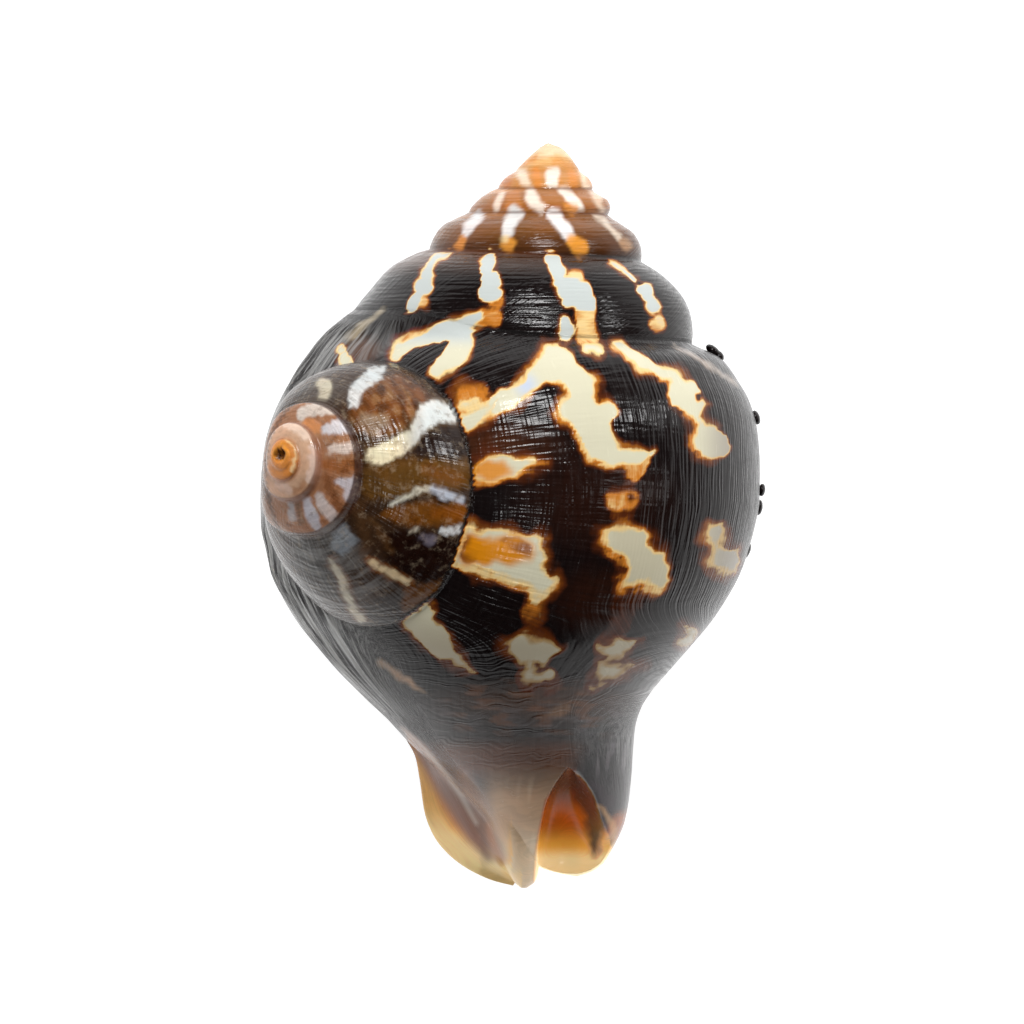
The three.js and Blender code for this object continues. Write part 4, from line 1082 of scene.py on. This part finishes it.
# a pale grey line along the ridge of the flange: painted highlight
tint(smooth(-3, 3, stroke([(402, 728, 1.5), (424, 747, 2.4), (440, 768, 2.6), (461, 797, 2.4), (476, 824, 1.6)], gu, gv)),
     (186, 172, 160), 0.75)
tint(smooth(866, 878, gv) * (gu < 522), (238, 208, 146), 0.85)
lobe = smooth(-2, 2, gu - np.interp(gv, [769, 800, 830, 850, 880], [566, 545, 539, 536, 534])) * smooth(766, 772, gv)
margin = np.interp(gv, [770, 800, 828, 846, 858, 870], [576, 590, 600, 611, 619, 612])
outside = lobe * smooth(-1.5, 1.5, gu - margin) * smooth(0.965, 0.985, rho)
hollow = lobe - outside
tint(hollow, (92, 34, 12), 0.95)
tint(hollow * smooth(782, 818, gv), (206, 108, 28), 0.95)
tint(hollow * smooth(822, 848, gv), (246, 182, 78), 0.95)
tint(hollow * smooth(846, 862, gv), (253, 228, 170), 0.95)
tint(outside * smooth(760, 785, gv), (30, 22, 24), 0.85)
tint(outside * smooth(-6, 5, polygon([(632, 812), (618, 815), (605, 823), (605, 840), (615, 848), (632, 842)], gu, gv)),
     (172, 94, 30), 0.9)
tint(outside * smooth(836, 854, gv), (246, 206, 130), 0.95)
tongue = polygon([(574, 774), (600, 786), (616, 800), (611, 816), (603, 832), (598, 850), (593, 856), (590, 838),
                  (586, 818), (578, 796)], wu, wv)
tint(lobe * smooth(-5, 4, tongue), (46, 35, 41), 0.95)
tint(lobe * smooth(-3, 3, stroke([(601, 836, 1.5), (600, 848, 2.5), (596, 858, 1.5)], wu, wv)), (176, 130, 96), 0.8)
tint(lobe * smooth(-3, 3, stroke([(600, 806, 2), (612, 822, 3), (614, 838, 3)], wu, wv)), (222, 176, 118), 0.6)
flame = flame * smooth(760, 730, gv)

# --- inside of the aperture, and the rim that it rests on
inside = smooth(0.985, 0.95, rho) * (gz < 60) * smooth(-0.2, -0.6, nor[:, 2] + 0 * rho)
deep = smooth(0.97, 0.93, rho) * (np.abs(gu - ax) < rx * 0.95) * (gv > 395) * (gv < 800)
under = (gz < -40) & (gu > 440)
tint(deep * (rho < 0.97) * ((gz < 0) | (rho < 0.9)) * (gv < 768) * (1 - is_bud), (206, 150, 92), 0.95)
rim = smooth(-212.5, -214.5, gz)
tint(rim, (214, 176, 128), 0.9)
flame = flame * (1 - deep) * (1 - rim)

# ------------------------------------------------------- thread coordinates
cdir = np.stack([gu - 513, 490 - gv, gz], -1)
cdir = cdir / np.linalg.norm(cdir, axis=1, keepdims=True)
hub = np.array([-0.80, 0.02, 0.60])
hub = hub / np.linalg.norm(hub)
e1 = np.cross(hub, [0, 1, 0])
e1 = e1 / np.linalg.norm(e1)
e2 = np.cross(hub, e1)
polar = np.arccos(np.clip(cdir @ hub, -1, 1)) * 250
azim = np.arctan2(-(cdir @ e2), -(cdir @ e1)) * 200
across = np.where(whorl < 6, gv * 1.25, polar)
along_line = np.where(whorl < 6, psi * np.maximum(np.abs(gv - 143) * 0.9, 20) / 57.3, azim)
across = np.where(is_bud > 0.5, br * 1.2, across)
along_line = np.where(is_bud > 0.5, np.degrees(np.arctan2(flat @ bud_up, flat @ bud_side)) * 2.4, along_line)

# towards the neck they lie across the shell, in shallow arcs
low = smooth(600, 690, gv) * (whorl >= 6)
spot = (np.hypot(gu - 510, gv - 640) < 25) & (nor[:, 2] > 0.3)
arcs = gv + 0.0016 * (gu - 510) ** 2 + 3.4 * wobble(gu * 0.5, gv, 71, 22) + 1.6 * wobble(gu * 0.5, gv, 72, 9)
across = across * (1 - low) + low * (arcs - 640 + np.median(polar[spot]))
along_line = along_line * (1 - low) + low * (gu - 510 + np.median(azim[spot]))
# which of the two sets of lines is the stronger
line_mix = np.maximum(np.maximum(smooth(575, 660, gu), (whorl < 6) * 1.0), np.maximum(low, smooth(440, 380, gu)))
line_mix = line_mix * (1 - 0.45 * low)
line_mix = np.where(is_bud > 0.5, 0.75, line_mix)
relief = np.where(is_bud > 0.5, 0.2 + 0.8 * smooth(36, 60, bud_rad), 1.0) * smooth(815, 740, gv) * (1 - 0.3 * low)
attr = me.attributes.new("relief", "FLOAT", "POINT")
attr.data.foreach_set("value", relief.astype(np.float32))
attr = me.attributes.new("line_mix", "FLOAT", "POINT")
attr.data.foreach_set("value", line_mix.astype(np.float32))
# on the left flank the lines stream along the margin
ps = (psi + 180) % 360 - 180
flank = smooth(58, 36, ps) * smooth(-90, -50, ps) * (1 - is_bud) * (gv > 318)
flank_arc = ps * 4.4 + 5 * np.sin(gv / 31.0) + 3 * np.sin(gv / 13.0 + 1)
across = across * (1 - flank) + flank * flank_arc
along_line = along_line * (1 - flank) + flank * gv
# and down the right flank of the neck
flank = smooth(108, 140, ps) * smooth(690, 740, gv) * (1 - is_bud)
across = across * (1 - flank) + flank * (ps * 2.6 + 4 * np.sin(gv / 19.0))
along_line = along_line * (1 - flank) + flank * gv * 0.8

attr = me.attributes.new("thread_map", "FLOAT_VECTOR", "POINT")
attr.data.foreach_set("vector", np.stack([across / 10, along_line / 10, np.zeros(n)], -1).astype(np.float32).ravel())
attr = me.attributes.new("mark_level", "FLOAT", "POINT")
attr.data.foreach_set("value", flame.astype(np.float32))
ps = (psi + 180) % 360 - 180
# grey streaks on the crests of the folds of the left flank, on the lower left of the second spire and across the neck:
# painted sheen, the pale floor reflected in the shell
painted_sheen = (smooth(62, 22, ps) * smooth(-75, -15, ps) * smooth(0.97, 0.99, rho) * ((whorl >= 6) | ((whorl == 5) & (ps < 0))) * (1 - is_bud)
        * (smooth(500, 560, gv) * smooth(735, 700, gv) + 0.6 * smooth(318, 340, gv) * smooth(430, 390, gv)))
painted_sheen = np.maximum(painted_sheen, 0.3 * smooth(120, 80, np.abs(gu - 300) + np.abs(gv - 590)) * is_bud * (bud_rad > 66))
painted_sheen = np.maximum(painted_sheen, 0.3 * smooth(690, 740, gv) * smooth(775, 745, gv) * smooth(560, 635, gu))
attr = me.attributes.new("painted_sheen", "FLOAT", "POINT")
attr.data.foreach_set("value", np.clip(painted_sheen, 0, 1).astype(np.float32))
# emission on the notch, the column and the flange edges: painted glow, standing in for light through the thin shell
glow = (np.maximum(hollow * (0.28 + 0.72 * smooth(830, 862, gv)), smooth(770, 800, gv) * smooth(560, 545, gu) * (0.22 + 0.25 * smooth(800, 840, gv) * (gu < 480)))
        * smooth(775, 815, gv) + outside * smooth(815, 850, gv) * 0.2) * smooth(-0.2, 0.1, nor[:, 2])
attr = me.attributes.new("second_spire", "FLOAT", "POINT")
attr.data.foreach_set("value", (smooth(0.3, 0.8, is_bud) * smooth(20, 60, bud_rad)).astype(np.float32))
attr = me.attributes.new("orange_heart", "FLOAT", "POINT")
attr.data.foreach_set("value", (orange * on_top * smooth(0.3, 0.6, flame) * (1 - is_bud)).astype(np.float32))
attr = me.attributes.new("faded_edge", "FLOAT", "POINT")
attr.data.foreach_set("value", (0.85 * smooth(590, 640, gv) + 0.5 * smooth(690, 720, gu) * (gv < 590)).astype(np.float32))
attr = me.attributes.new("amber_zone", "FLOAT", "POINT")
attr.data.foreach_set("value", np.clip(amberness, 0, 1).astype(np.float32))
attr = me.attributes.new("glow", "FLOAT", "POINT")
attr.data.foreach_set("value", np.clip(glow, 0, 1).astype(np.float32))
for name, values in (("ground_tone", ground), ("pale_tone", pale)):
    attr = me.attributes.new(name, "FLOAT_COLOR", "POINT")
    attr.data.foreach_set("color", np.hstack([values, np.ones((n, 1))]).astype(np.float32).ravel())

# ================================================================ the material
mat = bpy.data.materials.new("shell_surface")
mat.use_nodes = True
nt = mat.node_tree
nt.nodes.clear()


def node(kind, **kw):
    nd = nt.nodes.new(kind)
    for k, val in kw.items():
        setattr(nd, k, val)
    return nd


def attribute(name):
    return node("ShaderNodeAttribute", attribute_name=name)


def math_node(op, a, b=None, clamp=False):
    nd = node("ShaderNodeMath", operation=op)
    nd.use_clamp = clamp
    for i, x in enumerate((a, b)):
        if x is None:
            continue
        if isinstance(x, (int, float)):
            nd.inputs[i].default_value = x
        else:
            nt.links.new(x, nd.inputs[i])
    return nd.outputs[0]


def step(x, lo, hi, out=(0.0, 1.0)):
    nd = node("ShaderNodeMapRange", interpolation_type="SMOOTHSTEP")
    nt.links.new(x, nd.inputs["Value"])
    nd.inputs["From Min"].default_value = lo
    nd.inputs["From Max"].default_value = hi
    nd.inputs["To Min"].default_value = out[0]
    nd.inputs["To Max"].default_value = out[1]
    return nd.outputs[0]


def blend(fac, a, b, how="MIX"):
    nd = node("ShaderNodeMix", data_type="RGBA", blend_type=how)
    if isinstance(fac, (int, float)):
        nd.inputs[0].default_value = fac
    else:
        nt.links.new(fac, nd.inputs[0])
    for i, x in ((6, a), (7, b)):
        if isinstance(x, tuple):
            nd.inputs[i].default_value = x
        else:
            nt.links.new(x, nd.inputs[i])
    return nd.outputs[2]


def noise(vec, scale, detail=3, rough=0.55):
    nd = node("ShaderNodeTexNoise")
    nd.inputs["Scale"].default_value = scale
    nd.inputs["Detail"].default_value = detail
    nd.inputs["Roughness"].default_value = rough
    if vec is not None:
        nt.links.new(vec, nd.inputs["Vector"])
    return nd.outputs["Fac"]


def stretched(vec, sx, sy):
    nd = node("ShaderNodeVectorMath", operation="MULTIPLY")
    nt.links.new(vec, nd.inputs[0])
    nd.inputs[1].default_value = (sx, sy, 1)
    return nd.outputs[0]


def rgba(rgb):
    return tuple(float(c) for c in lin(rgb)) + (1.0,)


coords = node("ShaderNodeTexCoord").outputs["Object"]
lay = attribute("thread_map").outputs["Vector"]
flame_in = attribute("mark_level").outputs["Fac"]
ground_in = attribute("ground_tone").outputs["Color"]
pale_in = attribute("pale_tone").outputs["Color"]

# flame edges are ragged: a little noise along the growth lines
rag = noise(stretched(lay, 1.6, 0.45), 1.0, 3)
rag2 = noise(coords, 1800, 3)
lift = math_node("ADD", math_node("MULTIPLY", math_node("SUBTRACT", rag, 0.5), 0.2),
                 math_node("MULTIPLY", math_node("SUBTRACT", rag2, 0.5), 0.08))
edge_zone = math_node("MULTIPLY", step(flame_in, 0.02, 0.25), step(flame_in, 1.0, 0.75))
broad = step(noise(coords, 190, 2), 0.35, 0.65, (-0.09, 0.13))
level = math_node("ADD", flame_in, math_node("MULTIPLY", math_node("ADD", lift, broad), edge_zone))

mottle = noise(coords, 420, 4)
streak = noise(stretched(lay, 2.2, 0.25), 1.0, 4)
ground_var = blend(step(mottle, 0.3, 0.75, (0.0, 0.35)), ground_in, blend(1.0, ground_in, (1.6, 1.25, 1.1, 1), "MULTIPLY"))
ground_var = blend(step(streak, 0.35, 0.7, (0.0, 0.3)), ground_var, blend(1.0, ground_in, (0.55, 0.5, 0.5, 1), "MULTIPLY"))
on_bud = attribute("second_spire").outputs["Fac"]
dark_tone = blend(1.0, ground_var, (0.42, 0.36, 0.32, 1), "MULTIPLY")
lite_tone = blend(0.45, ground_var, rgba((214, 190, 160)))
spots = step(noise(coords, 1500, 4, 0.65), 0.50, 0.68, (0.0, 0.6))
spots2 = step(noise(coords, 1900, 4, 0.65), 0.50, 0.74, (0.0, 0.42))
ground_var = blend(math_node("MULTIPLY", spots, on_bud), ground_var, dark_tone)
ground_var = blend(math_node("MULTIPLY", spots2, on_bud), ground_var, lite_tone)
# the painted sheen comes in broken grey streaks along the threads
painted_sheen = math_node("MULTIPLY", attribute("painted_sheen").outputs["Fac"], step(noise(stretched(lay, 1.1, 0.10), 1.0, 4, 0.6), 0.42, 0.62))
ground_var = blend(painted_sheen, ground_var, rgba((168, 167, 164)))
amber_here = math_node("MAXIMUM", step(noise(coords, 230, 2), 0.40, 0.66, (0.12, 0.8)),
                       attribute("amber_zone").outputs["Fac"])
amber_here = math_node("MULTIPLY", amber_here, math_node("SUBTRACT", 1.0, attribute("faded_edge").outputs["Fac"]))
yellow_here = math_node("SUBTRACT", 1.0, math_node("MULTIPLY", attribute("faded_edge").outputs["Fac"], 0.7))
base = blend(step(level, 0.06, 0.36), ground_var, rgba((88, 40, 15)), "LIGHTEN")
base = blend(math_node("MULTIPLY", step(level, 0.28, 0.44), amber_here), base, rgba((204, 124, 42)))
base = blend(math_node("MULTIPLY", step(level, 0.42, 0.56), yellow_here), base, rgba((240, 206, 140)))
base = blend(step(level, 0.52, 0.78), base, pale_in)
heart = math_node("MULTIPLY", attribute("orange_heart").outputs["Fac"], step(noise(coords, 330, 3), 0.26, 0.46, (0.6, 1.0)))
base = blend(heart, base, rgba((222, 138, 18)))
heart = math_node("MULTIPLY", step(heart, 0.5, 0.9), step(noise(coords, 420, 2), 0.50, 0.68, (0.0, 0.85)))
base = blend(heart, base, rgba((128, 66, 20)))

bsdf = node("ShaderNodeBsdfPrincipled")
bsdf.inputs["Roughness"].default_value = 0.3
bsdf.inputs["Specular IOR Level"].default_value = 0.23
bsdf.inputs["Coat Weight"].default_value = 0.0
# the glow attribute lights the base colour: painted glow
nt.links.new(blend(attribute("glow").outputs["Fac"], (0, 0, 0, 1), base), bsdf.inputs["Emission Color"])
bsdf.inputs["Emission Strength"].default_value = 0.45
bsdf.inputs["Coat Roughness"].default_value = 0.12
nt.links.new(base, bsdf.inputs["Base Color"])
rough = step(noise(stretched(lay, 1.2, 0.3), 1.6, 3), 0.3, 0.7, (0.12, 0.28))
nt.links.new(rough, bsdf.inputs["Roughness"])

# fine threads and growth lines
sep = node("ShaderNodeSeparateXYZ")
nt.links.new(lay, sep.inputs[0])
warp = math_node("MULTIPLY", noise(stretched(lay, 0.4, 0.2), 1.0, 2), 1.2)
thread = math_node("SINE", math_node("MULTIPLY", math_node("ADD", sep.outputs["X"], warp), 2 * math.pi * 2.1))
thread = math_node("MULTIPLY", thread, step(noise(stretched(lay, 0.6, 0.15), 1.0, 1), 0.35, 0.65, (0.05, 0.34)))
fine = math_node("SUBTRACT", noise(stretched(lay, 2.3, 0.22), 1.0, 1, 0.5), 0.5)
cross = math_node("SUBTRACT", noise(stretched(lay, 0.25, 2.1), 1.0, 1, 0.5), 0.5)
mixing = attribute("line_mix").outputs["Fac"]
fine_w = step(mixing, 0.0, 1.0, (1.3, 2.7))
cross_w = step(mixing, 0.0, 1.0, (3.6, 1.2))
thread = math_node("MULTIPLY", thread, step(mixing, 0.0, 1.0, (0.4, 1.0)))
height = math_node("ADD", thread,
                   math_node("ADD", math_node("MULTIPLY", fine, fine_w), math_node("MULTIPLY", cross, cross_w)))
bump = node("ShaderNodeBump")
bump.inputs["Strength"].default_value = 1.0
bump.inputs["Distance"].default_value = 0.000024
height = math_node("MULTIPLY", height, attribute("relief").outputs["Fac"])
height = math_node("MULTIPLY", height, step(level, 0.5, 0.8, (1.0, 0.28)))
nt.links.new(height, bump.inputs["Height"])
nt.links.new(bump.outputs["Normal"], bsdf.inputs["Normal"])
out = node("ShaderNodeOutputMaterial")
nt.links.new(bsdf.outputs[0], out.inputs["Surface"])

me.materials.clear()
me.materials.append(mat)
for p in me.polygons:
    p.material_index = 0

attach(shell, "root")
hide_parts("shell")

# ================================================================= the studio
floor_me = bpy.data.meshes.new("floor")
s = 6.0
floor_me.from_pydata([(-s, -s, -1e-5), (s, -s, -1e-5), (s, s, -1e-5), (-s, s, -1e-5)], [], [(0, 1, 2, 3)])
floor = bpy.data.objects.new("floor", floor_me)
bpy.context.scene.collection.objects.link(floor)
fm = bpy.data.materials.new("floor_white")
fm.use_nodes = True
fb = fm.node_tree.nodes["Principled BSDF"]
fb.inputs["Base Color"].default_value = (0.35, 0.35, 0.35, 1)
fb.inputs["Roughness"].default_value = 0.9
fb.inputs["Specular IOR Level"].default_value = 0.1
fb.inputs["Emission Color"].default_value = (1, 1, 1, 1)
fb.inputs["Emission Strength"].default_value = 0.96
floor_me.materials.append(fm)


def area(name, direction, distance, size_x, size_y, radiance, colour=(1, 1, 1)):
    data = bpy.data.lights.new(name, "AREA")
    data.shape = "RECTANGLE"
    data.size, data.size_y = size_x, size_y
    data.energy = radiance * math.pi * size_x * size_y
    data.color = colour
    ob = bpy.data.objects.new(name, data)
    target = Vector((0, 0, 0.015))
    d = Vector(direction).normalized()
    ob.location = target + d * distance
    ob.rotation_euler = d.to_track_quat("Z", "Y").to_euler()
    bpy.context.scene.collection.objects.link(ob)
    return ob


area("key", (0.10, 0.63, 0.77), 0.6, 0.18, 0.16, 32.0)
area("spark", (0.80, 0.46, 0.36), 0.6, 0.10, 0.09, 26.0)
area("fill", (0.10, -0.42, 0.90), 0.7, 0.06, 0.06, 40.0)
area("side", (0.80, -0.05, 0.60), 0.7, 0.06, 0.4, 4.0)
area("left", (-0.80, 0.25, 0.55), 0.7, 0.08, 0.4, 7.0)

world = bpy.data.worlds.new("studio")
world.use_nodes = True
wt = world.node_tree
wt.nodes.clear()
tc = wt.nodes.new("ShaderNodeTexCoord")
sx = wt.nodes.new("ShaderNodeSeparateXYZ")
ramp = wt.nodes.new("ShaderNodeValToRGB")
bg = wt.nodes.new("ShaderNodeBackground")
wo = wt.nodes.new("ShaderNodeOutputWorld")
wt.links.new(tc.outputs["Generated"], sx.inputs[0])
wt.links.new(sx.outputs["Z"], ramp.inputs[0])
wt.links.new(ramp.outputs[0], bg.inputs[0])
wt.links.new(bg.outputs[0], wo.inputs[0])
ramp.color_ramp.elements[0].position = 0.0
ramp.color_ramp.elements[0].color = (0.85, 0.85, 0.85, 1)
ramp.color_ramp.elements[1].position = 0.20
ramp.color_ramp.elements[1].color = (0.02, 0.02, 0.021, 1)
middle = ramp.color_ramp.elements.new(0.09)
middle.color = (0.62, 0.62, 0.62, 1)
# darker towards the foot of the picture and a little towards its right
shade = wt.nodes.new("ShaderNodeMapRange")
shade.interpolation_type = "SMOOTHSTEP"
lean = wt.nodes.new("ShaderNodeMath")
lean.operation = "MULTIPLY_ADD"
lean.inputs[1].default_value = -0.6
wt.links.new(sx.outputs["X"], lean.inputs[0])
wt.links.new(sx.outputs["Y"], lean.inputs[2])
wt.links.new(lean.outputs[0], shade.inputs["Value"])
shade.inputs["From Min"].default_value = -0.75
shade.inputs["From Max"].default_value = -0.15
shade.inputs["To Min"].default_value = 0.08
shade.inputs["To Max"].default_value = 1.1
wt.links.new(shade.outputs[0], bg.inputs["Strength"])
bpy.context.scene.world = world

vs = bpy.context.scene.view_settings
vs.view_transform = "Standard"
vs.look = "None"
vs.exposure = 0.0

cam_data = bpy.data.cameras.new("camera")
cam_data.lens = 1200
cam_data.sensor_width = 36
frame_width = 1024 * U
mid_height = FLOOR * U
cam = bpy.data.objects.new("camera", cam_data)
cam.location = ((512 - MID_U) * U, (MID_V - 512) * U, mid_height + cam_data.lens / 36 * frame_width)
cam.rotation_euler = (0, 0, 0)
cam_data.clip_start = 0.01
cam_data.clip_end = 50
bpy.context.scene.collection.objects.link(cam)
bpy.context.scene.camera = cam
